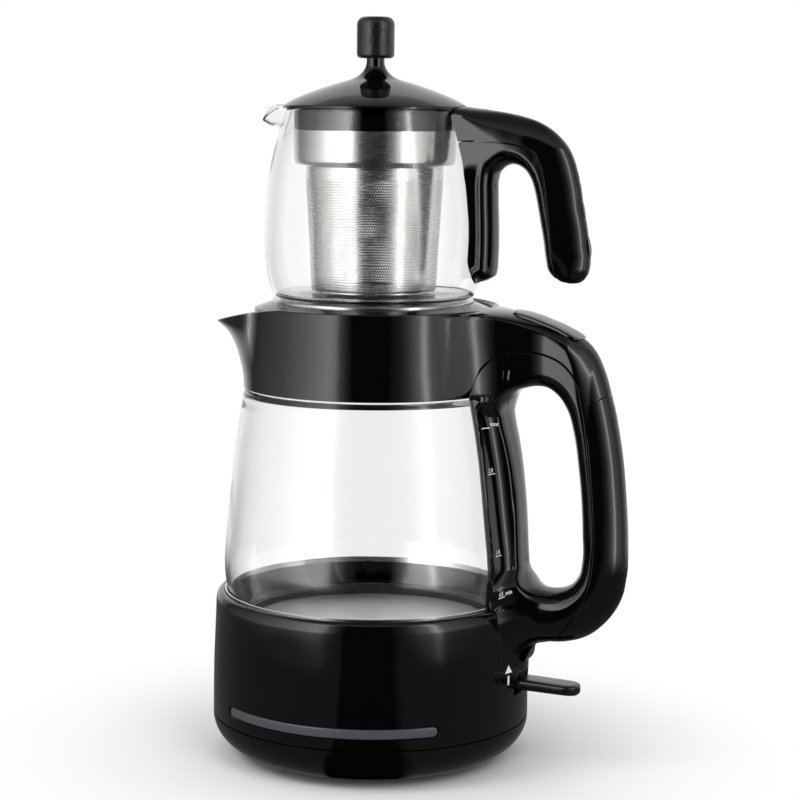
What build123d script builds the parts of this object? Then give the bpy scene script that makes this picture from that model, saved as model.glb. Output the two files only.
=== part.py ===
from build123d import *
import os

os.makedirs("parts", exist_ok=True)

# An electric tea maker: a glass kettle on a corded power base, with a glass teapot and its
# steel filter standing on the kettle's lid.  Millimetres.  The origin is on the floor, on the
# axis of the kettle.  +X points to the handles, -X to the spouts, +Z up.

# ---------------------------------------------------------------- driving dimensions

# clearances
seat_gap = 0.3            # between pieces of two bodies that rest on each other
fit_gap = 0.25            # round a piece that sits in a pocket
run_gap = 0.05            # radial clearance of a pin in the piece that turns on it
plug_gap = 0.1            # round a plug in its hole

# power base
base_flare = 1.8          # the base's rim beyond the housing's top
base_top_z = 24.7
base_bottom_r = 70.0      # flat underside
foot_height = 3.0
foot_r = 6.5
foot_circle_r = 62.0
foot_turn = 32.0          # degrees from the handle axis
base_wall = 2.4
base_screw_circle_r = 46.0
base_screw_head_r = 2.4
socket_r = 11.0
socket_rise = 12.0        # above the base's top
gland_bore_r = 3.5
gland_length = 12.0

# kettle housing
housing_height = 73.0
shoulder_width = 5.0      # from the glass belly to the housing's outside
housing_wall = 2.5
cover_thickness = 2.4
plate_rise = 52.0         # heating plate above the housing's lower edge
strip_centre = -86.0      # degrees
strip_half = 42.0
strip_height = 4.8
strip_rise = 9.8          # centre of the light strip above the housing's lower edge

# kettle glass
glass_foot_r = 78.5
glass_belly_r = 87.2
glass_waist_r = 81.3
glass_neck_r = 75.4
glass_wall = 2.5
glass_height = 138.5      # from foot to shoulder
neck_height = 15.0
neck_step = 3.2

# collar, spout and lid seat
collar_r = 76.0
collar_top_r = 73.6
collar_height = 48.0
mouth_r = 70.3
ledge_r = 67.2
ledge_depth = 7.7         # below the collar's top
spout_reach = 102.0
spout_drop = 13.5         # tip below the collar's top
spout_wall = 2.0

# kettle handle
grip_reach = 69.8         # outermost point of the grip beyond the glass belly
grip_half = 15.5
root_half = 27.0
tongue_half = 20.0
tongue_drop = 48.0        # below the housing's top
strip_flange = 1.8        # thickness of the flange strip on the glass
lever_length = 50.5
lever_half = 8.0
lever_thickness = 5.5
lever_setback = 14.0      # pivot inside the housing's outer face
pin_r = 2.0
grip_round = 9.0
opening_round = 5.0
button_half = 11.0
button_length = 40.4
plug_r = 5.0

# kettle lid
lid_rise = 5.0            # of its cone
lid_plate_r = 58.8
well_r = 44.5
steam_hole_r = 3.0

# teapot
pot_r = 64.0
pot_foot_r = 55.0
pot_rim_r = 51.5
pot_height = 109.7
pot_wall = 2.2
pot_spout_r = 8.5
pot_spout_length = 25.0
pot_grip_half = 12.4
pot_spine_half = 11.0
pot_grip_reach = 67.4     # outermost point of the grip beyond the pot's belly

# teapot lid, knob and filter
pot_lid_r = 53.6
pot_lid_rise = 17.5
stem_r = 5.3
knob_r = 10.9
knob_height = 23.7
skirt_r = 47.0
filter_top_r = 40.0
filter_foot_r = 36.4
filter_floor_gap = 4.6    # between the filter and the pot's underside
filter_collar_height = 19.7
steel = 0.8               # sheet thickness
skirt_wall = 2.2
hook_r = 43.8             # ring under the skirt that carries the bayonet hooks
hook_depth = 9.0
hook_height = 2.0
hook_half = 12.0          # degrees
knob_screw_r = 2.0

# ---------------------------------------------------------------- derived places

housing_top_r = glass_belly_r + shoulder_width
base_r = housing_top_r + base_flare
lever_pivot_x = base_r - lever_setback
housing_z = base_top_z + seat_gap
housing_top_z = housing_z + housing_height
plate_z = housing_z + plate_rise
glass_z = plate_z + 3.0
shoulder_z = glass_z + glass_height
neck_top_z = shoulder_z + neck_height
collar_z = shoulder_z + 1.0
collar_top_z = collar_z + collar_height
ledge_z = collar_top_z - ledge_depth
lid_edge_z = collar_top_z - 1.5
lid_plate_z = lid_edge_z + lid_rise
pot_z = lid_plate_z + seat_gap
pot_rim_z = pot_z + pot_height
pot_lid_z = pot_rim_z + seat_gap
knob_z = pot_lid_z + pot_lid_rise + 11.3
skirt_z = pot_lid_z - 12.4
filter_top_z = skirt_z - seat_gap
filter_foot_z = pot_z + filter_floor_gap
belly = glass_belly_r


def finish(builder, label):
    """Names a finished piece and writes it to its own STEP file."""
    builder.part.label = label
    export_step(builder.part, f"parts/{label}.step")


# ---------------------------------------------------------------- power base

base_skin_z = base_top_z - base_wall
bowl_height = base_top_z - foot_height

with BuildPart() as base_shell:
    with BuildSketch(Plane.XZ):
        with BuildLine():
            EllipticalCenterArc((base_bottom_r, base_top_z), base_r - base_bottom_r, bowl_height,
                                270, arc_size=90)
            Line((base_r, base_top_z), (socket_r + 8, base_top_z))
            Line((socket_r + 8, base_top_z), (socket_r + 8, base_skin_z))
            Line((socket_r + 8, base_skin_z), (base_r - base_wall, base_skin_z))
            EllipticalCenterArc((base_bottom_r, base_skin_z), base_r - base_wall - base_bottom_r,
                                bowl_height - 2 * base_wall, 270, arc_size=90)
            Line((base_bottom_r, foot_height + base_wall), (base_bottom_r, foot_height))
        make_face()
    revolve(axis=Axis.Z)
    gland_z = foot_height + base_wall + 7.6
    with BuildSketch(Plane.XZ.offset(-base_r - 2)):
        with Locations((0, gland_z)):
            Circle(gland_bore_r + 1.6 + fit_gap)
    extrude(amount=gland_length + 10, mode=Mode.SUBTRACT)
finish(base_shell, "base_shell")

with BuildPart() as base_plate:
    with BuildSketch(Plane.XY.offset(foot_height)):
        Circle(base_bottom_r - fit_gap)
    extrude(amount=base_wall)
    with BuildSketch(Plane.XY.offset(foot_height)):
        with PolarLocations(base_screw_circle_r, 3, start_angle=90):
            Circle(base_screw_head_r + fit_gap)
    extrude(amount=base_wall, mode=Mode.SUBTRACT)
finish(base_plate, "base_plate")

foot_places = [Vector(foot_circle_r, 0).rotate(Axis.Z, turn)
               for turn in (foot_turn, 180 - foot_turn, 180 + foot_turn, -foot_turn)]

with BuildPart() as base_feet:
    with BuildSketch(Plane.XY) as foot_faces:
        with Locations(*[(p.X, p.Y) for p in foot_places]):
            Circle(foot_r)
    extrude(amount=foot_height)
    chamfer(base_feet.edges().group_by(Axis.Z)[0], 0.8)
finish(base_feet, "base_feet")

with BuildPart() as base_screws:
    with BuildSketch(Plane.XY.offset(foot_height)):
        with PolarLocations(base_screw_circle_r, 3, start_angle=90):
            Circle(base_screw_head_r)
    extrude(amount=base_wall + 1.0)
    with BuildSketch(Plane.XY.offset(foot_height + base_wall + 1.0)):
        with PolarLocations(base_screw_circle_r, 3, start_angle=90):
            Circle(base_screw_head_r - 1.0)
    extrude(amount=6.0)
finish(base_screws, "base_screws")

# the round socket that the kettle drops onto, with three contact rings
socket_top_z = base_top_z + socket_rise
ring_places = [socket_top_z - 3.0 - 4.0 * i for i in range(3)]
ring_height = 2.0
ring_depth = 1.4

with BuildPart() as base_socket:
    with BuildSketch(Plane.XZ):
        Polygon((0, foot_height + base_wall), (socket_r + 10, foot_height + base_wall),
                (socket_r + 10, base_skin_z - 8), (socket_r + 8 - fit_gap, base_skin_z - 8),
                (socket_r + 8 - fit_gap, base_top_z), (socket_r, base_top_z),
                (socket_r, socket_top_z - 1), (socket_r - 1, socket_top_z), (0, socket_top_z),
                align=None)
    revolve(axis=Axis.Z)
    with BuildSketch(Plane.XZ):
        for ring_z in ring_places:
            with Locations((socket_r - ring_depth / 2, ring_z)):
                Rectangle(ring_depth, ring_height)
    revolve(axis=Axis.Z, mode=Mode.SUBTRACT)
finish(base_socket, "base_socket")

with BuildPart() as socket_contacts:
    with BuildSketch(Plane.XZ):
        for ring_z in ring_places:
            with Locations((socket_r - ring_depth / 2, ring_z)):
                Rectangle(ring_depth, ring_height)
    revolve(axis=Axis.Z)
finish(socket_contacts, "socket_contacts")

gland_y = base_r - 1.5

with BuildPart() as cord_gland:
    with BuildSketch(Plane.XZ.offset(-gland_y)):
        with Locations((0, gland_z)):
            Circle(gland_bore_r + 1.6)
            Circle(gland_bore_r, mode=Mode.SUBTRACT)
    extrude(amount=gland_length)
finish(cord_gland, "cord_gland")

# ---------------------------------------------------------------- kettle housing

lever_z = housing_z + 26.0
slot_low_z = lever_z - 7.0
slot_high_z = lever_z + 7.0
slot_half = lever_half + 1.3
tongue_z = housing_top_z - tongue_drop
tongue_inner_r = housing_top_r - 1.2
cover_top_z = housing_z + cover_thickness
connector_r = 21.0
strip_z = housing_z + strip_rise

housing_profile = [(base_r, housing_z), (base_r - 0.4, housing_z + 0.45 * housing_height),
                   (housing_top_r, housing_top_z - 7)]


def ring_sector(radius_in, radius_out, low_z, height, centre, half_angle):
    """A curved bar: a sector of a ring, standing on low_z."""
    with BuildPart() as sector:
        with BuildSketch(Plane.XY.offset(low_z)):
            with BuildLine():
                outer = CenterArc((0, 0), radius_out, centre - half_angle, 2 * half_angle)
                inner = CenterArc((0, 0), radius_in, centre - half_angle, 2 * half_angle)
                Line(outer @ 0, inner @ 0)
                Line(outer @ 1, inner @ 1)
            make_face()
        extrude(amount=height)
    return sector.part


with BuildPart() as light_strip:
    add(ring_sector(base_r - housing_wall, base_r - 0.1, strip_z - strip_height / 2, strip_height,
                    strip_centre, strip_half))
finish(light_strip, "light_strip")

with BuildPart() as strip_pocket:
    add(ring_sector(base_r - housing_wall - 3, base_r + 3, strip_z - strip_height / 2 - fit_gap,
                    strip_height + 2 * fit_gap, strip_centre, strip_half + 0.3))

with BuildPart() as bottom_housing:
    with BuildSketch(Plane.XZ):
        with BuildLine():
            rim_in = (glass_belly_r + 0.2, housing_top_z)
            rim_out = (housing_top_r - 1.8, housing_top_z)
            Line(housing_profile[0], housing_profile[1])
            Line(housing_profile[1], housing_profile[2])
            Spline(housing_profile[2], (housing_top_r - 0.6, housing_top_z - 1.9), rim_out)
            Line(rim_out, rim_in)
            Line(rim_in, (rim_in[0], housing_top_z - 6))
            Polyline((rim_in[0], housing_top_z - 6), (housing_top_r - housing_wall, housing_top_z - 9),
                     (housing_profile[1][0] - housing_wall, housing_profile[1][1]),
                     (base_r - housing_wall, housing_z), housing_profile[0])
        make_face()
    revolve(axis=Axis.Z)
    # window for the handle's tongue, and the slot of the lever below it
    with BuildSketch(Plane.XY.offset(tongue_z - fit_gap)):
        Circle(base_r + 10)
        Circle(tongue_inner_r - fit_gap, mode=Mode.SUBTRACT)
        with Locations((base_r, 0)):
            Rectangle(base_r, 2 * (tongue_half + fit_gap), mode=Mode.INTERSECT)
    extrude(amount=tongue_drop + 2 * fit_gap, mode=Mode.SUBTRACT)
    with BuildSketch(Plane.YZ.offset(base_r - 20)):
        with Locations((0, (slot_low_z + slot_high_z) / 2)):
            Rectangle(2 * slot_half, slot_high_z - slot_low_z)
    extrude(amount=30, mode=Mode.SUBTRACT)
    add(strip_pocket.part, mode=Mode.SUBTRACT)
finish(bottom_housing, "bottom_housing")

cover_screw_circle_r = base_r - 14.0
cover_screw_head_r = 2.4

with BuildPart() as bottom_cover:
    with BuildSketch(Plane.XY.offset(housing_z)):
        Circle(base_r - housing_wall - fit_gap)
        Circle(connector_r + fit_gap, mode=Mode.SUBTRACT)
        with PolarLocations(cover_screw_circle_r, 3, start_angle=60):
            Circle(cover_screw_head_r, mode=Mode.SUBTRACT)
    extrude(amount=cover_thickness)
finish(bottom_cover, "bottom_cover")

with BuildPart() as cover_screws:
    with BuildSketch(Plane.XY.offset(housing_z + 0.4)):
        with PolarLocations(cover_screw_circle_r, 3, start_angle=60):
            Circle(cover_screw_head_r - run_gap)
    extrude(amount=cover_thickness)
    with BuildSketch(Plane.XY.offset(housing_z + 0.4 + cover_thickness)):
        with PolarLocations(cover_screw_circle_r, 3, start_angle=60):
            Circle(cover_screw_head_r - 0.9)
    extrude(amount=8)
finish(cover_screws, "cover_screws")

# the kettle's half of the connector: a cup over the socket, with a flange inside the cover
connector_bore_r = socket_r + 1.0
connector_top_z = socket_top_z + 6

with BuildPart() as kettle_connector:
    with BuildSketch(Plane.XZ):
        Polygon((connector_bore_r, housing_z), (connector_r, housing_z), (connector_r, cover_top_z),
                (connector_r + 4, cover_top_z), (connector_r + 4, cover_top_z + 2),
                (connector_r - 4, cover_top_z + 2), (connector_r - 4, connector_top_z),
                (0, connector_top_z), (0, socket_top_z + 1), (connector_bore_r, socket_top_z + 1),
                align=None)
    revolve(axis=Axis.Z)
finish(kettle_connector, "kettle_connector")

# ---------------------------------------------------------------- heater

plate_r = glass_foot_r + 3.0
plate_thickness = 1.0
diffuser_r = 60.0
diffuser_thickness = 4.0
diffuser_z = plate_z - plate_thickness - diffuser_thickness

with BuildPart() as heating_plate:
    with BuildSketch(Plane.XZ):
        Polygon((0, plate_z - plate_thickness), (plate_r, plate_z - plate_thickness), (plate_r, plate_z),
                (0, plate_z), align=None)
    revolve(axis=Axis.Z)
finish(heating_plate, "heating_plate")

with BuildPart() as diffuser_plate:
    with BuildSketch(Plane.XY.offset(diffuser_z)):
        Circle(diffuser_r)
    extrude(amount=diffuser_thickness)
finish(diffuser_plate, "diffuser_plate")

element_r = 48.0
element_tube_r = 3.6

with BuildPart() as heating_element:
    with BuildSketch(Plane.XZ):
        with Locations((element_r, diffuser_z - element_tube_r)):
            Circle(element_tube_r)
    revolve(axis=Axis.Z, revolution_arc=300)
finish(heating_element, "heating_element")

with BuildPart() as control_unit:
    with BuildSketch(Plane.XY.offset(connector_top_z)):
        RectangleRounded(52, 40, 6)
    extrude(amount=diffuser_z - connector_top_z)
finish(control_unit, "control_unit")

with BuildPart() as plate_seal:
    with BuildSketch(Plane.XZ):
        seal_in_r = glass_foot_r - glass_wall - 0.5
        seal_lip_r = glass_foot_r + 1.9
        Polygon((seal_in_r, plate_z), (plate_r, plate_z), (plate_r, glass_z + 2.5),
                (seal_lip_r, glass_z + 2.5), (seal_lip_r, glass_z), (seal_in_r, glass_z), align=None)
    revolve(axis=Axis.Z)
finish(plate_seal, "plate_seal")

with BuildPart() as led_board:
    board_r = base_r - housing_wall - 3.4
    add(ring_sector(board_r - 1.6, board_r, cover_top_z, strip_rise + 1.2, strip_centre, strip_half - 12))
finish(led_board, "led_board")

# ---------------------------------------------------------------- kettle glass

def glass_side(offset):
    """Points down the side of the kettle's glass, moved out by offset."""
    span = glass_height
    return [(glass_foot_r + offset, glass_z), (glass_belly_r - 2.6 + offset, glass_z + 0.11 * span),
            (glass_belly_r + offset, glass_z + 0.245 * span),
            (glass_belly_r - 2.5 + offset, glass_z + 0.487 * span),
            (glass_waist_r + offset, glass_z + 0.73 * span), (glass_neck_r + offset, shoulder_z)]


neck_r = glass_neck_r - neck_step

with BuildPart() as kettle_glass:
    with BuildSketch(Plane.XZ):
        with BuildLine():
            Spline(*glass_side(0))
            Spline(*glass_side(-glass_wall))
            Line((glass_foot_r, glass_z), (glass_foot_r - glass_wall, glass_z))
            Polyline((glass_neck_r, shoulder_z), (neck_r, shoulder_z + 0.8), (neck_r, neck_top_z),
                     (neck_r - glass_wall, neck_top_z), (neck_r - glass_wall, shoulder_z + 1.8),
                     (glass_neck_r - glass_wall, shoulder_z))
        make_face()
    revolve(axis=Axis.Z)
finish(kettle_glass, "kettle_glass")

with BuildPart() as rim_trim:
    trim_r = glass_belly_r - 1.6
    with BuildSketch(Plane.XZ):
        Polygon((trim_r, housing_top_z - 2), (glass_belly_r, housing_top_z - 2),
                (glass_belly_r, housing_top_z + 1.0), (trim_r + 0.6, housing_top_z + 1.0), align=None)
    revolve(axis=Axis.Z)
    with BuildSketch(Plane.XZ):
        with BuildLine():
            Spline(*glass_side(0.1))
            Polyline((glass_neck_r + 0.1, shoulder_z), (0, shoulder_z), (0, glass_z),
                     (glass_foot_r + 0.1, glass_z))
        make_face()
    revolve(axis=Axis.Z, mode=Mode.SUBTRACT)
finish(rim_trim, "rim_trim")

# ---------------------------------------------------------------- handle outlines

def top(distance):
    """A height below the collar's top."""
    return collar_top_z - distance


def low(distance):
    """A height above the housing's top."""
    return housing_top_z + distance


grip_x = belly + grip_reach
parting_top = [(belly + 6.8, top(23)), (belly + 20, top(23.4)), (belly + 33, top(28.2)),
               (belly + 39.8, top(36)), (belly + 43.8, top(46.5))]
parting_grip = [(grip_x - 25.9, top(46.5)), (grip_x - 21.8, top(72.5)), (grip_x - 18.6, top(104.5)),
                (grip_x - 17.6, low(32)), (grip_x - 21, low(10)), (grip_x - 30, low(-7)),
                (grip_x - 41, low(-20.8))]
bridge_top = [(belly - 20, top(0)), (belly - 1.5, top(0.3)), (belly + 14.6, top(2.9)),
              (belly + 35.8, top(10.3)), (belly + 48, top(20)), (belly + 54, top(31.5)),
              (belly + 57.8, top(43.5))]
cover_back = [(belly + 57.8, top(43.5)), (grip_x - 6.5, top(67.3)), (grip_x - 2.1, top(99)),
              (grip_x, low(37)), (grip_x - 0.6, low(19)), (grip_x - 8, low(-1)), (grip_x - 24.5, low(-16.8)),
              (grip_x - 38.5, low(-21.0))]
opening = [(belly - 1.7, top(42.5)), (belly + 37.5, top(42.5)), (belly + 45.5, low(12)),
           (belly + 10.8, low(10.5))]
opening_radii = [13, 23, 15, 14]
parting_gap = 0.4


def plan_profile(half_root):
    """The handle seen from above: wide at its root, waisted to the grip."""
    return [(belly - 40, -half_root), (belly - 11, -half_root), (belly + 5, -tongue_half),
            (belly + 18, -grip_half), (grip_x + 10, -grip_half), (grip_x + 10, grip_half),
            (belly + 18, grip_half), (belly + 5, tongue_half), (belly - 11, half_root),
            (belly - 40, half_root)]


with BuildPart() as handle_form:
    with BuildSketch(Plane.XZ.offset(-grip_half)):
        with BuildLine():
            Spline(*bridge_top, *cover_back[1:], (belly - 20, low(-22.5)))
            Line((belly - 20, low(-22.5)), bridge_top[0])
        make_face()
        with BuildLine():
            FilletPolyline(*opening, radius=opening_radii, close=True)
        make_face(mode=Mode.SUBTRACT)
    extrude(amount=2 * grip_half)
    fillet(handle_form.edges().filter_by(GeomType.BSPLINE).sort_by(SortBy.LENGTH)[-2:], grip_round)
    side_faces = handle_form.faces().filter_by(Axis.Y).sort_by(Axis.Y)
    rims = [wire for face in (side_faces[0], side_faces[-1]) for wire in face.inner_wires()]
    fillet([edge for wire in rims for edge in wire.edges()], opening_round)
    with BuildSketch(Plane.XZ.offset(-root_half)):
        Polygon((belly - 40, tongue_z - 5), (belly + 18, tongue_z - 5), (belly + 18, top(-5)),
                (belly - 40, top(-5)), align=None)
        with BuildLine():
            FilletPolyline(*opening, radius=opening_radii, close=True)
        make_face(mode=Mode.SUBTRACT)
    extrude(amount=2 * root_half)

# ---------------------------------------------------------------- collar with spout and bridge

spout_tip_z = collar_top_z - spout_drop


def beak(height, tip_x, half_base, wall):
    """A plan section of the spout: a wedge from inside the collar to a rounded tip."""
    reach = -tip_x + wall
    with BuildSketch(Plane.XY.offset(height)) as section:
        with BuildLine():
            nose = 3.4 - 0.7 * wall
            side_out = (reach + nose, -nose)
            tip_arc = ThreePointArc(side_out, (reach, 0), (side_out[0], nose))
            Line(tip_arc @ 0, (-ledge_r + 1, -half_base + wall))
            Line((-ledge_r + 1, -half_base + wall), (-ledge_r + 1, half_base - wall))
            Line((-ledge_r + 1, half_base - wall), tip_arc @ 1)
        make_face()
    return section.sketch.face()


def spout_sections(wall):
    """Four plan sections, from the foot of the spout to above its lip."""
    return [beak(collar_z + 3, collar_r + 0.6, 26, wall),
            beak(collar_z + 16, collar_r + 6, 27, wall),
            beak(collar_z + 29, spout_reach - 6, 28, wall),
            beak(collar_top_z, spout_reach + 10, 29, wall)]


with BuildPart() as spout_shape:
    loft(spout_sections(0))

with BuildPart() as spout_hollow:
    loft(spout_sections(spout_wall))
    with BuildSketch(Plane.XY.offset(collar_top_z)):
        with Locations((-ledge_r - 20, 0)):
            Rectangle(60, 60)
    extrude(amount=10)
    with BuildSketch(Plane.XY.offset(collar_z)):
        Rectangle(400, 400)
    extrude(amount=14, mode=Mode.SUBTRACT)

# pocket of the release button, its pin holes and the tunnel of the latch
pivot_x = belly + 21.0
pivot_z = top(15.5)
button_x = belly + 0.8
pocket_end_x = button_x + button_length + 0.6
button_pin_r = 1.5
latch_z = ledge_z - 3.4
latch_height = 2.8
latch_half = 4.0
latch_length = 34.0
latch_x = ledge_r - 0.3          # nose of the latch
hub_r = 3.6
pocket_floor_z = pivot_z - hub_r - 0.6
pocket_half = button_half + 0.5

with BuildPart() as button_pocket:
    with BuildSketch(Plane.XZ.offset(-pocket_half)):
        Polygon((button_x - 0.6, top(-8)), (button_x - 0.6, latch_z - 0.6),
                (pivot_x - hub_r - 0.6, latch_z - 0.6), (pivot_x - hub_r - 0.6, pocket_floor_z),
                (pocket_end_x, pocket_floor_z), (pocket_end_x, top(-8)), align=None)
    extrude(amount=2 * pocket_half)
    with BuildSketch(Plane.XZ.offset(-pocket_half - 3)):
        with Locations((pivot_x, pivot_z)):
            Circle(button_pin_r)
    extrude(amount=2 * pocket_half + 6)
    with BuildSketch(Plane.YZ.offset(latch_x - 4)):
        with Locations((0, latch_z + latch_height / 2)):
            Rectangle(2 * latch_half + 0.8, latch_height + 0.8)
    extrude(amount=latch_length)

with BuildPart() as collar:
    with BuildSketch(Plane.XZ):
        with BuildLine():
            Line((0, collar_z), (collar_r, collar_z))
            Spline((collar_r, collar_z), (collar_r - 0.5, collar_z + 16),
                   (collar_top_r + 0.5, collar_top_z - 10), (collar_top_r, collar_top_z - 2.4))
            Line((collar_top_r, collar_top_z - 2.4), (collar_top_r - 1.6, collar_top_z))
            Line((collar_top_r - 1.6, collar_top_z), (0, collar_top_z))
            Line((0, collar_top_z), (0, collar_z))
        make_face()
    revolve(axis=Axis.Z)
    add(spout_shape.part)
    # the bridge to the grip, moulded in one with the collar
    bridge_under = [(x + parting_gap, z + parting_gap) for x, z in reversed(parting_top)]
    with BuildPart(mode=Mode.PRIVATE) as bridge:
        with BuildSketch(Plane.XZ.offset(-50)):
            with BuildLine():
                Spline(*bridge_top)
                Line(bridge_top[-1], bridge_under[0])
                Spline(*bridge_under)
                Polyline(bridge_under[-1], (bridge_top[0][0], top(23)), bridge_top[0])
            make_face()
        extrude(amount=100)
        with BuildSketch(Plane.XY.offset(collar_z - 5)):
            Polygon(*plan_profile(root_half), align=None)
        extrude(amount=collar_height + 20, mode=Mode.INTERSECT)
        add(handle_form.part, mode=Mode.INTERSECT)
    add(bridge.part)
    # inside: the seat of the glass neck, the bore, the lid's ledge and mouth
    with BuildSketch(Plane.XZ):
        Polygon((0, collar_z - 1), (neck_r + 1.1, collar_z - 1), (neck_r + 1.1, neck_top_z + 2.4),
                (ledge_r, neck_top_z + 4.4), (ledge_r, ledge_z), (mouth_r, ledge_z),
                (mouth_r, collar_top_z + 5), (0, collar_top_z + 5), align=None)
    revolve(axis=Axis.Z, mode=Mode.SUBTRACT)
    add(spout_hollow.part, mode=Mode.SUBTRACT)
    add(button_pocket.part, mode=Mode.SUBTRACT)
    # towards the spout the rim falls away in a shallow curve, down to the lip
    with BuildSketch(Plane.XZ.offset(-base_r)):
        with BuildLine():
            lip = Spline((-25, collar_top_z + 0.01), (-49, collar_top_z - 2.5), (-64, collar_top_z - 5.7),
                         (-86, collar_top_z - 10.1), (-spout_reach - 14, spout_tip_z - 7.5))
            Polyline(lip @ 1, (-spout_reach - 14, collar_top_z + 20), (-25, collar_top_z + 20), lip @ 0)
        make_face()
    extrude(amount=2 * base_r, mode=Mode.SUBTRACT)
finish(collar, "collar")

with BuildPart() as collar_gasket:
    with BuildSketch(Plane.XZ):
        Polygon((neck_r + 0.1, shoulder_z + 4), (neck_r + 1.0, shoulder_z + 4),
                (neck_r + 1.0, neck_top_z + 1.6), (neck_r - glass_wall, neck_top_z + 1.6),
                (neck_r - glass_wall, neck_top_z + 0.1), (neck_r + 0.1, neck_top_z + 0.1), align=None)
    revolve(axis=Axis.Z)
finish(collar_gasket, "collar_gasket")

# ---------------------------------------------------------------- release button and latch

button_mid_x = button_x + button_length / 2
button_end_x = button_x + button_length
button_top = [(button_x, top(-0.1)), (button_mid_x, top(4.2)), (button_end_x, top(12.6))]
button_under = [(button_end_x - 1.6, top(16.2)), (button_mid_x, top(8.2)), (button_x, top(4.4))]
finger_x = belly + 9.0

with BuildPart() as release_button:
    with BuildSketch(Plane.XZ.offset(-button_half)):
        with BuildLine():
            ThreePointArc(*button_top)
            Line(button_top[2], button_under[0])
            ThreePointArc(*button_under)
            Line(button_under[2], button_top[0])
        make_face()
    extrude(amount=2 * button_half)
    fillet(release_button.edges().filter_by(Axis.Y).group_by(Axis.Z)[-1], 0.8)
    with BuildSketch(Plane.XZ.offset(-button_half + 3)):
        with Locations((pivot_x, pivot_z)):
            Circle(hub_r)
        Polygon((pivot_x - hub_r, pivot_z), (pivot_x + hub_r, pivot_z), (pivot_x + hub_r, top(6)),
                (pivot_x - hub_r, top(5.5)), align=None)
    extrude(amount=2 * button_half - 6)
    with BuildSketch(Plane.XZ.offset(-1.8)):
        with Locations((finger_x, (top(5.5) + latch_z) / 2)):
            Rectangle(2.0, top(5.5) - latch_z)
    extrude(amount=3.6)
    with BuildSketch(Plane.XZ.offset(-button_half - 1)):
        with Locations((pivot_x, pivot_z)):
            Circle(button_pin_r + run_gap)
    extrude(amount=2 * button_half + 2, mode=Mode.SUBTRACT)
finish(release_button, "release_button")

with BuildPart() as button_pin:
    with BuildSketch(Plane.XZ.offset(-pocket_half - 2.8)):
        with Locations((pivot_x, pivot_z)):
            Circle(button_pin_r - 0.02)
    extrude(amount=2 * pocket_half + 5.6)
finish(button_pin, "button_pin")

latch_end_x = latch_x + latch_length - 6

with BuildPart() as lid_latch:
    with BuildSketch(Plane.XY.offset(latch_z)):
        Polygon((latch_x, -latch_half + 1.5), (latch_x + 2, -latch_half), (latch_end_x, -latch_half),
                (latch_end_x, latch_half), (latch_x + 2, latch_half), (latch_x, latch_half - 1.5),
                align=None)
        with Locations((finger_x, 0)):
            Rectangle(5.0, 4.6, mode=Mode.SUBTRACT)
    extrude(amount=latch_height)
finish(lid_latch, "lid_latch")

spring_x = button_x + button_length - 7
spring_wire_r = 0.4
spring_r = 2.6
spring_low_z = pocket_floor_z + 0.1
spring_high_z = top(14.8)

with BuildPart() as button_spring:
    with BuildLine() as spring_path:
        Helix(pitch=1.5, height=spring_high_z - spring_low_z - 2 * spring_wire_r, radius=spring_r,
              center=(spring_x, 0, spring_low_z + spring_wire_r))
    coil = spring_path.edges()[0]
    with BuildSketch(Plane(origin=coil @ 0, z_dir=coil % 0)):
        Circle(spring_wire_r)
    sweep(path=spring_path.wires()[0], is_frenet=True)
finish(button_spring, "button_spring")

# ---------------------------------------------------------------- handle: inner half with spine and tongue

screw_r = 1.6
screw_length = 12.0
plug_heights = [top(56), low(24)]
plug_floors = [grip_x - 15.5, grip_x - 7.6]
plug_seat = 2.6           # screw head below the plug
plug_lengths = [3.6, 3.9]
pot_plug_length = 4.2
vent_pitch = 3.3
vent_floor = 17.0

with BuildPart() as handle_keepout:
    with BuildSketch(Plane.XZ):
        with BuildLine():
            clearance = strip_flange + 0.5
            side = [p for p in glass_side(clearance) if p[1] > housing_top_z]
            start = (glass_belly_r - 1.0 + clearance, housing_top_z + fit_gap)
            Spline(start, *side)
            Polyline(side[-1], (collar_r + fit_gap, collar_z - fit_gap), (collar_r + fit_gap, collar_z + 10),
                     (collar_top_r + 0.7, collar_top_z), (0, collar_top_z), (0, housing_z),
                     (tongue_inner_r, housing_z), (tongue_inner_r, housing_top_z + fit_gap), start)
        make_face()
    revolve(axis=Axis.Z)

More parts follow.
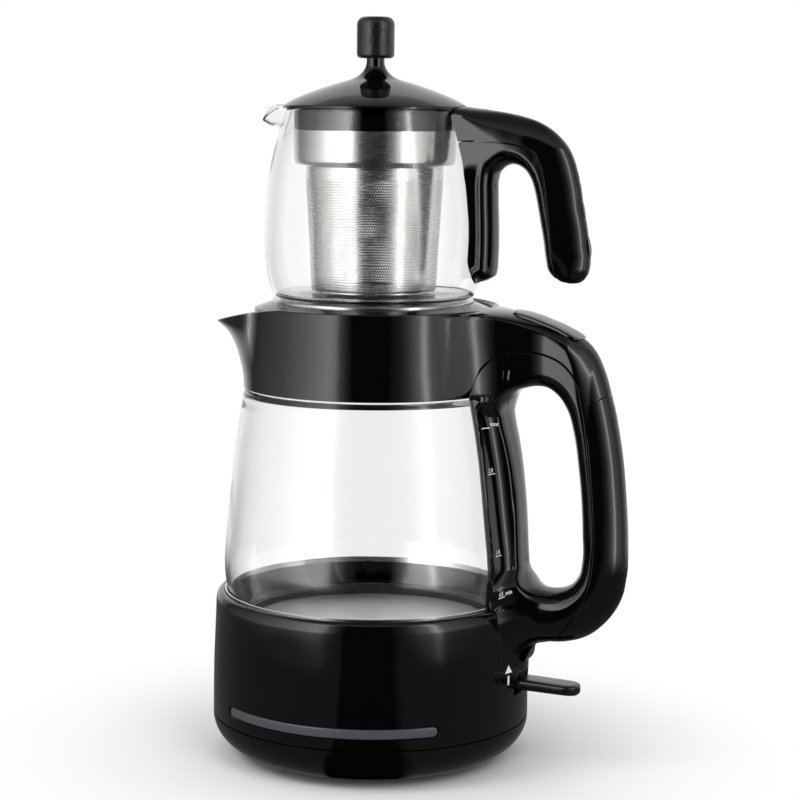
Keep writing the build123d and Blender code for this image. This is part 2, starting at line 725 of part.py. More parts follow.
with BuildPart() as handle_inner:
    with BuildSketch(Plane.XZ.offset(-50)):
        with BuildLine():
            head = (belly - 25, top(23))
            Line(head, parting_top[0])
            Spline(*parting_top)
            Line(parting_top[-1], parting_grip[0])
            Spline(*parting_grip)
            foot = parting_grip[-1]
            tip = (base_r - 0.1, tongue_z)
            Spline(foot, (belly + 17, low(-22.6)), (belly + 11.5, low(-28)), (belly + 7.6, low(-38)), tip)
            Polyline(tip, (belly - 25, tongue_z), head)
        make_face()
        with BuildLine():
            FilletPolyline(*opening, radius=opening_radii, close=True)
        make_face(mode=Mode.SUBTRACT)
    extrude(amount=100)
    with BuildSketch(Plane.XY.offset(tongue_z - 5)):
        Polygon(*plan_profile(root_half - 2), align=None)
    extrude(amount=collar_top_z, mode=Mode.INTERSECT)
    add(handle_form.part, mode=Mode.INTERSECT)
    with BuildSketch(Plane.YZ):
        Polygon((-root_half, top(60)), (-root_half + 1, top(15)), (root_half - 1, top(15)),
                (root_half, top(60)), (tongue_half, low(10)), (tongue_half, tongue_z),
                (-tongue_half, tongue_z), (-tongue_half, low(10)), align=None)
    extrude(amount=grip_x + 10, mode=Mode.INTERSECT)
    add(handle_keepout.part, mode=Mode.SUBTRACT)
    # the slot of the lever, cut up from the tongue's lower edge
    with BuildSketch(Plane.YZ.offset(tongue_inner_r - 2)):
        with Locations((0, slot_high_z - 15)):
            Rectangle(2 * slot_half, 30)
    extrude(amount=12, mode=Mode.SUBTRACT)
    for plug_z, floor_x in zip(plug_heights, plug_floors):
        with BuildSketch(Plane.YZ.offset(floor_x)):
            with Locations((0, plug_z)):
                Circle(screw_r)
        extrude(amount=-screw_length - 0.3, mode=Mode.SUBTRACT)
    # steam vents in the ear beside the collar
    for side_y in (root_half, -vent_floor):
        with BuildSketch(Plane.XZ.offset(side_y)):
            for i in range(3):
                with Locations((belly + 0.3 + vent_pitch * i, top(33))):
                    SlotOverall(7.0, 1.7, rotation=100)
        extrude(amount=vent_floor - root_half, mode=Mode.SUBTRACT)
finish(handle_inner, "handle_inner")

with BuildPart() as spine_strip:
    with BuildSketch(Plane.XZ):
        with BuildLine():
            near = [(glass_belly_r - 0.6, housing_top_z + 1.6)]
            near += [p for p in glass_side(0.3) if p[1] > housing_top_z + 5]
            far = [(x + strip_flange, z) for x, z in near]
            Spline(*near)
            Spline(*far)
            Line(near[0], far[0])
            Line(near[-1], far[-1])
        make_face()
    revolve(axis=Axis.Z)
    with BuildSketch(Plane.YZ):
        Polygon((-root_half, shoulder_z), (root_half, shoulder_z), (tongue_half + 2, housing_top_z),
                (-tongue_half - 2, housing_top_z), align=None)
    extrude(amount=belly + 20, mode=Mode.INTERSECT)
finish(spine_strip, "spine_strip")

# ---------------------------------------------------------------- handle: back cover, screws and plugs

with BuildPart() as handle_back_cover:
    with BuildSketch(Plane.XZ.offset(-grip_half)):
        with BuildLine():
            inside = Spline(*[(x + parting_gap, z - parting_gap / 2) for x, z in parting_grip])
            Polyline(inside @ 1, (inside @ 1).add(Vector(0, -6)), (grip_x + 10, low(-40)),
                     (grip_x + 10, top(42)), (cover_back[0][0] + 4, cover_back[0][1] + 1 - parting_gap),
                     (cover_back[0][0], cover_back[0][1] - parting_gap), inside @ 0)
        make_face()
    extrude(amount=2 * grip_half)
    add(handle_form.part, mode=Mode.INTERSECT)
    for plug_z in plug_heights:
        with BuildSketch(Plane.YZ.offset(grip_x - 30)):
            with Locations((0, plug_z)):
                Circle(screw_r + fit_gap)
        extrude(amount=40, mode=Mode.SUBTRACT)
    for plug_z, floor_x in zip(plug_heights, plug_floors):
        with BuildSketch(Plane.YZ.offset(floor_x)):
            with Locations((0, plug_z)):
                Circle(plug_r + plug_gap)
        extrude(amount=20, mode=Mode.SUBTRACT)
finish(handle_back_cover, "handle_back_cover")

with BuildPart() as screw_plugs:
    for plug_z, floor_x, length in zip(plug_heights, plug_floors, plug_lengths):
        with BuildSketch(Plane.YZ.offset(floor_x + plug_seat)):
            with Locations((0, plug_z)):
                Circle(plug_r)
        extrude(amount=length)
finish(screw_plugs, "screw_plugs")

with BuildPart() as handle_screws:
    for plug_z, floor_x in zip(plug_heights, plug_floors):
        with BuildSketch(Plane.YZ.offset(floor_x)):
            with Locations((0, plug_z)):
                Circle(screw_r + 1.4)
        extrude(amount=2.3)
        with BuildSketch(Plane.YZ.offset(floor_x)):
            with Locations((0, plug_z)):
                Circle(screw_r)
        extrude(amount=-screw_length)
finish(handle_screws, "handle_screws")

# ---------------------------------------------------------------- switch lever and its pin

with BuildPart() as switch_box:
    with BuildSketch(Plane.XY.offset(cover_top_z)):
        with Locations((lever_pivot_x - 14, 0)):
            Rectangle(16, 30)
        with Locations((lever_pivot_x - 3, lever_half + 3.4), (lever_pivot_x - 3, -lever_half - 3.4)):
            Rectangle(14, 4)
    extrude(amount=lever_z + 6 - cover_top_z)
    with BuildSketch(Plane.XZ.offset(-25)):
        with Locations((lever_pivot_x, lever_z)):
            Circle(pin_r)
    extrude(amount=50, mode=Mode.SUBTRACT)
finish(switch_box, "switch_box")

with BuildPart() as lever_pin:
    with BuildSketch(Plane.XZ.offset(-lever_half - 6.4)):
        with Locations((lever_pivot_x, lever_z)):
            Circle(pin_r)
    extrude(amount=2 * lever_half + 12.8)
finish(lever_pin, "lever_pin")

with BuildPart() as switch_lever:
    droop = 2.0
    tip_x = lever_pivot_x + lever_length
    with BuildSketch(Plane.XZ.offset(-lever_half)):
        half = lever_thickness / 2
        Polygon((lever_pivot_x, lever_z + half), (tip_x, lever_z - droop + half),
                (tip_x, lever_z - droop - half), (lever_pivot_x, lever_z - half), align=None)
        with Locations((lever_pivot_x, lever_z)):
            Circle(half + 1.6)
    extrude(amount=2 * lever_half)
    fillet(switch_lever.edges().filter_by(Axis.Z, tolerance=3).sort_by(Axis.X)[-2:], lever_half - 0.6)
    with BuildSketch(Plane.XZ.offset(-lever_half - 1)):
        with Locations((lever_pivot_x, lever_z)):
            Circle(pin_r + run_gap)
    extrude(amount=2 * lever_half + 2, mode=Mode.SUBTRACT)
finish(switch_lever, "switch_lever")

# ---------------------------------------------------------------- kettle lid

with BuildPart() as kettle_lid:
    edge_r = mouth_r - 0.5
    skirt_in_r = ledge_r - 4.0
    with BuildSketch(Plane.XZ):
        Polygon((0, ledge_z - 1.0), (skirt_in_r, ledge_z - 1.0), (skirt_in_r, ledge_z - 12),
                (ledge_r - 0.6, ledge_z - 12), (ledge_r - 0.6, ledge_z + seat_gap + 1.2),
                (edge_r, ledge_z + seat_gap + 1.2), (edge_r, lid_edge_z - 0.6), (edge_r - 0.8, lid_edge_z),
                (lid_plate_r + 0.4, lid_plate_z - 1.6), (well_r - 1.5, lid_plate_z - 1.6),
                (well_r - 3.0, ledge_z + 1.4), (0, ledge_z + 1.4), align=None)
    revolve(axis=Axis.Z)
    with BuildSketch(Plane.XY.offset(ledge_z - 3)):
        with PolarLocations(26, 6, start_angle=30):
            Circle(steam_hole_r)
        Circle(steam_hole_r)
    extrude(amount=8, mode=Mode.SUBTRACT)
finish(kettle_lid, "kettle_lid")

with BuildPart() as lid_plate:
    with BuildSketch(Plane.XY.offset(lid_plate_z - 1.6)):
        Circle(lid_plate_r)
        Circle(well_r, mode=Mode.SUBTRACT)
    extrude(amount=1.6)
    fillet(lid_plate.edges().group_by(Axis.Z)[-1], 0.5)
finish(lid_plate, "lid_plate")

with BuildPart() as lid_gasket:
    with BuildSketch(Plane.XZ):
        Polygon((ledge_r - 0.5, ledge_z + seat_gap), (edge_r - 0.4, ledge_z + seat_gap),
                (edge_r - 0.4, ledge_z + seat_gap + 1.1), (ledge_r - 0.5, ledge_z + seat_gap + 1.1),
                align=None)
    revolve(axis=Axis.Z)
finish(lid_gasket, "lid_gasket")

# ---------------------------------------------------------------- teapot glass

def pot_side(offset):
    """Points up the side of the teapot's glass, moved out by offset."""
    return [(pot_r - 4.6 + offset, pot_z + 3.4), (pot_r - 0.9 + offset, pot_z + 0.21 * pot_height),
            (pot_r + offset, pot_z + 0.345 * pot_height), (pot_r - 1.6 + offset, pot_z + 0.57 * pot_height),
            (pot_r - 5.1 + offset, pot_z + 0.77 * pot_height), (pot_rim_r + offset, pot_rim_z)]


with BuildPart() as pot_spout_tube:
    spout_plane = Plane(origin=(-pot_rim_r + 4, 0, pot_rim_z - pot_spout_r - 1.5), z_dir=(-1, 0, 0.4))
    with BuildSketch(spout_plane):
        Circle(pot_spout_r)
    extrude(amount=pot_spout_length)

with BuildPart() as pot_spout_bore:
    with BuildSketch(Plane(origin=spout_plane.origin - spout_plane.z_dir * 20, z_dir=spout_plane.z_dir)):
        Circle(pot_spout_r - pot_wall + 0.4)
    extrude(amount=60)

with BuildPart() as teapot_glass:
    with BuildSketch(Plane.XZ):
        with BuildLine():
            outer = pot_side(0)
            inner = pot_side(-pot_wall)
            Spline(*outer)
            Spline(*inner)
            Line(outer[-1], inner[-1])
            Polyline(outer[0], (pot_foot_r, pot_z), (0, pot_z), (0, pot_z + 3.0),
                     (pot_foot_r, pot_z + 3.0), (inner[0][0], inner[0][1] + 1.0), inner[0])
        make_face()
    revolve(axis=Axis.Z)
    with BuildPart(mode=Mode.PRIVATE) as pot_inside:
        with BuildSketch(Plane.XZ):
            with BuildLine():
                Spline(*inner)
                Polyline(inner[-1], (inner[-1][0], pot_rim_z + 30), (0, pot_rim_z + 30), (0, inner[0][1]),
                         inner[0])
            make_face()
        revolve(axis=Axis.Z)
    add(pot_spout_tube.part)
    add(pot_inside.part, mode=Mode.SUBTRACT)
    add(pot_spout_bore.part, mode=Mode.SUBTRACT)
    with BuildSketch(Plane.XY.offset(pot_rim_z)):
        Rectangle(400, 400)
    extrude(amount=40, mode=Mode.SUBTRACT)
finish(teapot_glass, "teapot_glass")

# ---------------------------------------------------------------- teapot handle

def pot(distance):
    """A height below the teapot's rim."""
    return pot_rim_z - distance


pot_grip_x = pot_r + pot_grip_reach
grip_foot = pot_z + 12.1
pot_handle_line = [(pot_rim_r - 8, pot(-2.2)), (pot_r + 54, pot(7.6)), (pot_grip_x + 2.4, grip_foot),
                   (pot_grip_x - 22.9, grip_foot), (pot_r + 31.9, pot(30.6)),
                   (pot_r + 11.2, pot(30.6)), (pot_r + 11.9, grip_foot + 3.6)]
pot_handle_radii = [32, 12.3, 12.3, 11, 9]
pot_parting = [(pot_r + 20, pot(18.8)), (pot_r + 35, pot(23.2)), (pot_r + 43.8, pot(35)),
               (pot_r + 49, pot(56)), (pot_r + 52.6, pot(78)), (pot_grip_x - 12.4, grip_foot + 0.2)]
spine_foot = grip_foot + 2.1
pot_grip_round = 8.5
pot_plug_floor = pot_grip_x - 13.5

with BuildPart() as pot_keepout:
    with BuildSketch(Plane.XZ):
        with BuildLine():
            pad = 1.6
            hull = pot_side(pad)
            Spline(*hull)
            Polyline(hull[-1], (pot_lid_r + 0.5, pot(0)), (pot_lid_r + 0.5, pot(-6)), (0, pot(-6)),
                     (0, pot_z), (hull[0][0], pot_z), hull[0])
        make_face()
    revolve(axis=Axis.Z)

with BuildPart() as pot_handle_form:
    with BuildSketch(Plane.XZ.offset(-pot_grip_half)):
        with BuildLine():
            FilletPolyline(*pot_handle_line, radius=pot_handle_radii)
            Polyline(pot_handle_line[-1], (pot_rim_r - 8, spine_foot - 5), pot_handle_line[0])
        make_face()
    extrude(amount=2 * pot_grip_half)
    long_edges = [edge for edge in pot_handle_form.edges()
                  if abs(abs(edge.center().Y) - pot_grip_half) < 0.01 and edge.center().X > pot_rim_r
                  and (edge.center().Z > spine_foot + 2 or edge.center().X > pot_r + 20)]
    fillet(long_edges, pot_grip_round)
    add(pot_keepout.part, mode=Mode.SUBTRACT)

with BuildPart() as teapot_handle_upper:
    with BuildSketch(Plane.XZ.offset(-pot_grip_half)):
        with BuildLine():
            seam = Spline(*pot_parting)
            Polyline(seam @ 1, (seam @ 1).add(Vector(0.3, -9)), (pot_grip_x + 9, grip_foot - 7.4),
                     (pot_grip_x + 9, pot(-9)), (pot_rim_r - 9, pot(-9)), (pot_rim_r - 9, pot(18.8)),
                     seam @ 0)
        make_face()
    extrude(amount=2 * pot_grip_half)
    add(pot_handle_form.part, mode=Mode.INTERSECT)
    with BuildSketch(Plane.YZ.offset(pot_grip_x - 40)):
        with Locations((0, pot(45))):
            Circle(screw_r + fit_gap)
    extrude(amount=60, mode=Mode.SUBTRACT)
    with BuildSketch(Plane.YZ.offset(pot_plug_floor)):
        with Locations((0, pot(45))):
            Circle(plug_r + plug_gap)
    extrude(amount=30, mode=Mode.SUBTRACT)
finish(teapot_handle_upper, "teapot_handle_upper")

with BuildPart() as teapot_handle_lower:
    with BuildSketch(Plane.XZ.offset(-pot_grip_half)):
        with BuildLine():
            seam = Spline(*[(x - parting_gap, z - parting_gap) for x, z in pot_parting])
            Polyline(seam @ 1, (seam @ 1).add(Vector(0.3, -9)), (pot_rim_r - 9, grip_foot - 8.4),
                     (pot_rim_r - 9, pot(18.8) - parting_gap), seam @ 0)
        make_face()
    extrude(amount=2 * pot_grip_half)
    add(pot_handle_form.part, mode=Mode.INTERSECT)
    with BuildSketch(Plane.YZ.offset(pot_plug_floor)):
        with Locations((0, pot(45))):
            Circle(screw_r)
    extrude(amount=-screw_length - 0.3, mode=Mode.SUBTRACT)
finish(teapot_handle_lower, "teapot_handle_lower")

with BuildPart() as teapot_plug:
    with BuildSketch(Plane.YZ.offset(pot_plug_floor + plug_seat)):
        with Locations((0, pot(45))):
            Circle(plug_r)
    extrude(amount=pot_plug_length)
finish(teapot_plug, "teapot_plug")

with BuildPart() as teapot_screw:
    with BuildSketch(Plane.YZ.offset(pot_plug_floor)):
        with Locations((0, pot(45))):
            Circle(screw_r + 1.4)
    extrude(amount=2.3)
    with BuildSketch(Plane.YZ.offset(pot_plug_floor)):
        with Locations((0, pot(45))):
            Circle(screw_r)
    extrude(amount=-screw_length)
finish(teapot_screw, "teapot_screw")

# a silicone pad bonds the handle to the glass
with BuildPart() as handle_pad:
    with BuildSketch(Plane.XZ.offset(-pot_spine_half + 2)):
        Polygon((pot_rim_r - 4, pot(8)), (pot_r + 4, pot(8)), (pot_r + 4, spine_foot + 4),
                (pot_rim_r - 4, spine_foot + 4), align=None)
    extrude(amount=2 * pot_spine_half - 4)
    with BuildPart(mode=Mode.PRIVATE) as pad_shell:
        with BuildSketch(Plane.XZ):
            with BuildLine():
                near = pot_side(0.1)
                far = pot_side(1.5)
                Spline(*near)
                Spline(*far)
                Line(near[0], far[0])
                Line(near[-1], far[-1])
            make_face()
        revolve(axis=Axis.Z)
    add(pad_shell.part, mode=Mode.INTERSECT)
finish(handle_pad, "handle_pad")

# ---------------------------------------------------------------- teapot lid, skirt and knob

stem_top_z = knob_z - 0.1
dome_top_z = pot_lid_z + pot_lid_rise

with BuildPart() as teapot_lid:
    with BuildSketch(Plane.XZ):
        with BuildLine():
            dome = Spline((pot_lid_r - 0.4, pot_lid_z + 1.7),
                          (0.7 * pot_lid_r, pot_lid_z + 0.53 * pot_lid_rise),
                          (0.34 * pot_lid_r, pot_lid_z + 0.89 * pot_lid_rise),
                          (stem_r + 4.6, dome_top_z + 1.4), (stem_r + 1.0, dome_top_z + 5.4),
                          (stem_r, stem_top_z))
            Polyline(dome @ 1, (0, stem_top_z), (0, dome_top_z - 6), (0.3 * pot_lid_r, dome_top_z - 6.5),
                     (0.7 * pot_lid_r, pot_lid_z + 0.53 * pot_lid_rise - 2.4), (skirt_r + 0.5, pot_lid_z),
                     (pot_lid_r, pot_lid_z), (pot_lid_r, pot_lid_z + 1.2), dome @ 0)
        make_face()
    revolve(axis=Axis.Z)
    with BuildSketch(Plane.XY.offset(dome_top_z - 10)):
        Circle(knob_screw_r + 0.2)
    extrude(amount=40, mode=Mode.SUBTRACT)
finish(teapot_lid, "teapot_lid")

with BuildPart() as knob:
    with BuildSketch(Plane.XY.offset(knob_z)):
        Circle(knob_r)
    extrude(amount=knob_height)
    fillet(knob.edges().group_by(Axis.Z)[-1], 4.5)
    fillet(knob.edges().group_by(Axis.Z)[0], 2.5)
    with BuildSketch(Plane.XY.offset(knob_z)):
        Circle(knob_screw_r)
    extrude(amount=knob_height - 6, mode=Mode.SUBTRACT)
finish(knob, "knob")

with BuildPart() as knob_screw:
    with BuildSketch(Plane.XY.offset(dome_top_z - 8.2)):
        Circle(knob_screw_r - 0.05)
    extrude(amount=knob_z + knob_height - 7 - dome_top_z + 8.2)
    with BuildSketch(Plane.XY.offset(dome_top_z - 8.2)):
        Circle(3.4)
    extrude(amount=2.0)
finish(knob_screw, "knob_screw")

with BuildPart() as lid_skirt:
    with BuildSketch(Plane.XZ):
        Polygon((skirt_r - skirt_wall, skirt_z), (skirt_r, skirt_z), (skirt_r, pot_lid_z - 0.1),
                (skirt_r - 6, pot_lid_z + 2.0), (skirt_r - 9, pot_lid_z + 3.4),
                (skirt_r - 9, pot_lid_z + 1.0), (skirt_r - skirt_wall, pot_lid_z - 2), align=None)
        Polygon((hook_r - 1.8, skirt_z - hook_depth), (hook_r, skirt_z - hook_depth), (hook_r, skirt_z),
                (skirt_r - 1, skirt_z), (skirt_r - 1, skirt_z + 1.2), (hook_r - 1.8, skirt_z + 1.2),
                align=None)
    revolve(axis=Axis.Z)
    add(ring_sector(hook_r - 0.5, skirt_r - steel - 0.3, skirt_z - hook_depth, hook_height, 0, hook_half))
    add(ring_sector(hook_r - 0.5, skirt_r - steel - 0.3, skirt_z - hook_depth, hook_height, 180, hook_half))
finish(lid_skirt, "lid_skirt")

# ---------------------------------------------------------------- filter

with BuildPart() as filter_collar:
    collar_foot_z = filter_top_z - filter_collar_height
    with BuildSketch(Plane.XZ):
        Polygon((skirt_r, filter_top_z), (skirt_r, collar_foot_z), (filter_top_r - steel, collar_foot_z),
                (filter_top_r - steel, collar_foot_z + steel), (skirt_r - steel, collar_foot_z + steel),
                (skirt_r - steel, filter_top_z), align=None)
    revolve(axis=Axis.Z)
    # two tabs that the lid's hooks hold
    tab_z = skirt_z - hook_depth + hook_height + 0.4
    add(ring_sector(hook_r + 0.4, skirt_r - steel / 2, tab_z, 1.2, 0, hook_half - 1))
    add(ring_sector(hook_r + 0.4, skirt_r - steel / 2, tab_z, 1.2, 180, hook_half - 1))
finish(filter_collar, "filter_collar")

with BuildPart() as filter_basket:
    with BuildSketch(Plane.XZ):
        Polygon((filter_top_r, collar_foot_z - 0.05), (filter_foot_r, filter_foot_z + 0.8),
                (filter_foot_r - steel, filter_foot_z + 0.8), (filter_top_r - steel, collar_foot_z - 0.05),
                align=None)
    revolve(axis=Axis.Z)
finish(filter_basket, "filter_basket")

with BuildPart() as filter_bottom:
    with BuildSketch(Plane.XY.offset(filter_foot_z)):
        Circle(filter_foot_r)
    extrude(amount=0.75)
finish(filter_bottom, "filter_bottom")
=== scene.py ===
import math

import bmesh
import bpy
import numpy as np
from mathutils import Matrix, Vector


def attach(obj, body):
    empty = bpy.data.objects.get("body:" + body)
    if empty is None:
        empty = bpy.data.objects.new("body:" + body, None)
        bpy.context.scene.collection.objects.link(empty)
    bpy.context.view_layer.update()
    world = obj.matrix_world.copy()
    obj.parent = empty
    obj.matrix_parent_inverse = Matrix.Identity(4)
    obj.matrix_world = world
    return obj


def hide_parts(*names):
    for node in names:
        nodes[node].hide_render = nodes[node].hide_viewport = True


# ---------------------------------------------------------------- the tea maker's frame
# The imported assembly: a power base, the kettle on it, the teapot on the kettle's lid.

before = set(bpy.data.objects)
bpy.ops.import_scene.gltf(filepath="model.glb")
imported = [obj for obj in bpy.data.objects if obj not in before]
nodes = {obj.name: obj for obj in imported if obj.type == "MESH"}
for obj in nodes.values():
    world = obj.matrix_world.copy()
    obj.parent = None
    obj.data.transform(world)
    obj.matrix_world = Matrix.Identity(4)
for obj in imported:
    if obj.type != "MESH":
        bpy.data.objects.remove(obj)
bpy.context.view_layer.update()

# ---------------------------------------------------------------- camera
# A long lens 1.28 m from the kettle's axis, level with the teapot's lid and looking
# down a little, from 22 degrees round towards the handles.

camera_azimuth = math.radians(22.0)
camera_pitch = math.radians(7.7)
camera_roll = math.radians(0.45)
camera_distance = 1.280
camera_height = 0.384


def linked(name, data):
    """A new object of the scene."""
    made = bpy.data.objects.new(name, data)
    bpy.context.scene.collection.objects.link(made)
    return made


camera_data = bpy.data.cameras.new("camera")
camera_data.lens = 98.55
camera_data.sensor_width = 36.0
camera_data.shift_x = 0.0339
camera = linked("camera", camera_data)
camera.matrix_world = (
    Matrix.Rotation(camera_azimuth, 4, "Z")
    @ Matrix.Translation((0.0, -camera_distance, camera_height))
    @ Matrix.Rotation(math.pi / 2 - camera_pitch, 4, "X")
    @ Matrix.Rotation(camera_roll, 4, "Z")
)
bpy.context.scene.camera = camera
bpy.context.scene.view_settings.view_transform = "Standard"

# ---------------------------------------------------------------- studio
# A white cove with tall soft boxes at both sides, a black screen in front and a dark
# ceiling. The eye and the glass see it plain white; gloss sees its light and dark.


def fill(tree, node, *inputs, **named):
    """A node's input sockets, in order or by name, set to values or linked to other nodes' outputs."""
    for label, value in [*enumerate(inputs), *named.items()]:
        socket = node.inputs[label if isinstance(label, int) else label.replace("_", " ")]
        value = value.outputs[0] if isinstance(value, bpy.types.Node) else value
        if isinstance(value, bpy.types.NodeSocket):
            tree.links.new(value, socket)
        else:
            socket.default_value = value
    return node


def node_of(tree, kind, *inputs, **named):
    """A new node of a kind, filled."""
    return fill(tree, tree.nodes.new("ShaderNode" + kind), *inputs, **named)


def math_of(tree, operation, *inputs):
    """The output of a Math node."""
    made = node_of(tree, "Math", *inputs)
    made.operation = operation
    return made.outputs[0]


def step_of(tree, value, low, high, least=0.0, most=1.0):
    """The least value below low, the most above high and a smooth change between."""
    made = node_of(tree, "MapRange", value, low, high, least, most)
    made.interpolation_type = "SMOOTHSTEP"
    return made.outputs[0]


def place_of(tree, kind="Object"):
    """Coordinates of a kind, then their x, y and z apart."""
    place = tree.nodes.new("ShaderNodeTexCoord").outputs[kind]
    return place, *node_of(tree, "SeparateXYZ", place).outputs


def group_of(name, inputs, *outputs):
    """A node group of numbers: its inputs as name and start value, its outputs by name. Its inputs come back too."""
    made = bpy.data.node_groups.new(name, "ShaderNodeTree")
    for label, value in inputs.items():
        made.interface.new_socket(name=label, in_out="INPUT", socket_type="NodeSocketFloat").default_value = value
    for label in outputs:
        made.interface.new_socket(name=label, in_out="OUTPUT", socket_type="NodeSocketFloat")
    return made, made.nodes.new("NodeGroupInput").outputs


def put_group(tree, group, *inputs, **named):
    """A node group placed in a tree, filled."""
    made = tree.nodes.new("ShaderNodeGroup")
    made.node_tree = group
    return fill(tree, made, *inputs, **named)


def by_path(tree, output, lit, mirrored, seen, eye_share):
    """Ends a tree: gloss meets the mirrored shader; the eye, by a share, and what the glass lets through meet the
    seen one; all other rays meet the lit one."""
    paths = tree.nodes.new("ShaderNodeLightPath").outputs
    gloss = math_of(tree, "GREATER_THAN", paths["Glossy Depth"], 0.5)
    eye = math_of(tree, "MULTIPLY", paths["Is Camera Ray"], eye_share)
    eye = math_of(tree, "MAXIMUM", eye, paths["Is Transmission Ray"])
    eye = math_of(tree, "MULTIPLY", eye, math_of(tree, "SUBTRACT", 1.0, gloss))
    unseen = node_of(tree, "MixShader", gloss, lit, mirrored)
    node_of(tree, output, node_of(tree, "MixShader", eye, unseen, seen))


# light of the cove round the object: degrees from the middle of the black screen's side, and strength
cove_light = [
    (-180, 1.0), (-150, 0.9), (-130, 0.12), (-110, 0.4), (-85, 0.95), (-60, 2.2), (-46, 3.3), (-40, 3.8), (-34, 3.0),
    (-29.5, 1.0), (-24, 0.3), (-18.5, 0.0), (13, 0.0), (24, 0.2), (30, 0.55), (35, 1.1), (41, 2.0), (45, 4.5),
    (47, 6.0), (50, 3.0), (53, 1.5), (60, 1.15), (85, 0.45), (92, 0.55), (100, 0.7), (109, 0.9), (117, 1.2),
    (122, 1.1), (132, 0.8), (150, 0.9), (180, 1.0),
]
brightest = 6.0
wall_top = (40.0, 45.0)          # degrees up, where the cove's wall goes over into its ceiling
ceiling_span = (42.0, 74.0)
ceiling_light = (0.60, 0.22)     # at its edge and overhead
room_light = 0.78                # for rays that neither gloss nor the eye sends

cove, given = group_of("cove_light", {"X": 0.0, "Y": 0.0}, "Light")
azimuth = math_of(cove, "ARCTAN2", given["X"], math_of(cove, "MULTIPLY", given["Y"], -1.0))
azimuth = math_of(cove, "SUBTRACT", math_of(cove, "DEGREES", azimuth), math.degrees(camera_azimuth))
azimuth = math_of(cove, "WRAP", azimuth, 180.0, -180.0)
ramp = node_of(cove, "ValToRGB", math_of(cove, "MULTIPLY_ADD", azimuth, 1.0 / 360.0, 0.5))
stops = ramp.color_ramp.elements
for degrees, strength in cove_light[1:-1]:
    stops.new(degrees / 360.0 + 0.5)
for stop, (degrees, strength) in zip(stops, cove_light):
    stop.position = degrees / 360.0 + 0.5
    stop.color = (*3 * (strength / brightest,), 1.0)
fill(cove, cove.nodes.new("NodeGroupOutput"), math_of(cove, "MULTIPLY", ramp.outputs[0], brightest))

world = bpy.data.worlds.new("studio")
bpy.context.scene.world = world
world.use_nodes = True
tree = world.node_tree
tree.nodes.clear()
_, x, y, z = place_of(tree, "Generated")
height = math_of(tree, "DEGREES", math_of(tree, "ARCSINE", z))
wall_share = step_of(tree, height, *wall_top, 1.0, 0.0)
ceiling = step_of(tree, height, *ceiling_span, *ceiling_light)
light = math_of(tree, "MULTIPLY", put_group(tree, cove, x, y).outputs[0], wall_share)
light = math_of(tree, "MULTIPLY_ADD", math_of(tree, "SUBTRACT", 1.0, wall_share), ceiling, light)
white = (1.0, 1.0, 1.0, 1.0)
plain, studio, seen_plain = (node_of(tree, "Background", white, strength) for strength in (room_light, light, 1.0))
by_path(tree, "OutputWorld", plain, studio, seen_plain, 1.0)

for name, place, size, power in [
    ("key", (-0.9, -1.1, 1.5), 0.9, 9.0),
    ("fill", (1.1, -0.9, 1.3), 0.9, 6.0),
]:
    lamp_data = bpy.data.lights.new(name, "AREA")
    lamp_data.shape = "DISK"
    lamp_data.size = size
    lamp_data.energy = power
    lamp = linked(name, lamp_data)
    lamp.location = place
    lamp.rotation_euler = (Vector(place) - Vector((0, 0, 0.15))).to_track_quat("Z", "Y").to_euler()
    lamp.visible_glossy = False
    lamp.visible_transmission = False

edge = 4.0
near_floor = 0.13              # the most light that gloss sees in the floor beside the object
bright_from = (0.45, 0.95)     # metres from the axis where gloss sees it turn bright
white_from = (0.10, 0.26)      # and where the eye sees it turn white, away from the object's own shadow
floor_mesh = bpy.data.meshes.new("floor")
floor_mesh.from_pydata([(-edge, -edge, 0), (edge, -edge, 0), (edge, edge, 0), (-edge, edge, 0)], [], [(0, 1, 2, 3)])
floor = linked("floor", floor_mesh)
floor_material = bpy.data.materials.new("floor")
floor_material.use_nodes = True
tree = floor_material.node_tree
tree.nodes.clear()
pale = node_of(tree, "BsdfDiffuse", (0.95, 0.95, 0.95, 1.0))
place, x, y, _ = place_of(tree)
reach = node_of(tree, "VectorMath", place)
reach.operation = "LENGTH"
reach = reach.outputs["Value"]
walls = put_group(tree, cove, x, y).outputs[0]
far_share = step_of(tree, reach, *bright_from)
near_light = math_of(tree, "MINIMUM", walls, near_floor)
near_part = math_of(tree, "MULTIPLY", near_light, math_of(tree, "SUBTRACT", 1.0, far_share))
mirrored = node_of(tree, "Emission", Strength=math_of(tree, "MULTIPLY_ADD", walls, far_share, near_part))
clear = node_of(tree, "Emission", Strength=1.0)
by_path(tree, "OutputMaterial", pale, mirrored, clear, step_of(tree, reach, *white_from))
floor_mesh.materials.append(floor_material)

# ---------------------------------------------------------------- power base
# A shallow glossy bowl of moulded plastic with a satin underside on four rubber feet.
# In its middle stands the round socket; the cord's gland is a short sleeve at the back.


def finish_of(name, colour, **named):
    """A material with one Principled shader, whose sockets hold constants."""
    made = bpy.data.materials.new(name)
    made.use_nodes = True
    tree = made.node_tree
    return made, tree, fill(tree, tree.nodes["Principled BSDF"], (*colour, 1.0), **named)


def bumped(tree, shader, height, distance):
    """A Bump node from a height output to the shader's Normal."""
    fill(tree, shader, Normal=node_of(tree, "Bump", Strength=1.0, Distance=distance, Height=height))


def skinned(tree, shader, group, depth, **named):
    """Roughness and bump of a shader from one of the skin groups."""
    skin = put_group(tree, group, **named)
    fill(tree, shader, Roughness=skin.outputs["Roughness"])
    bumped(tree, shader, skin.outputs["Height"], depth)


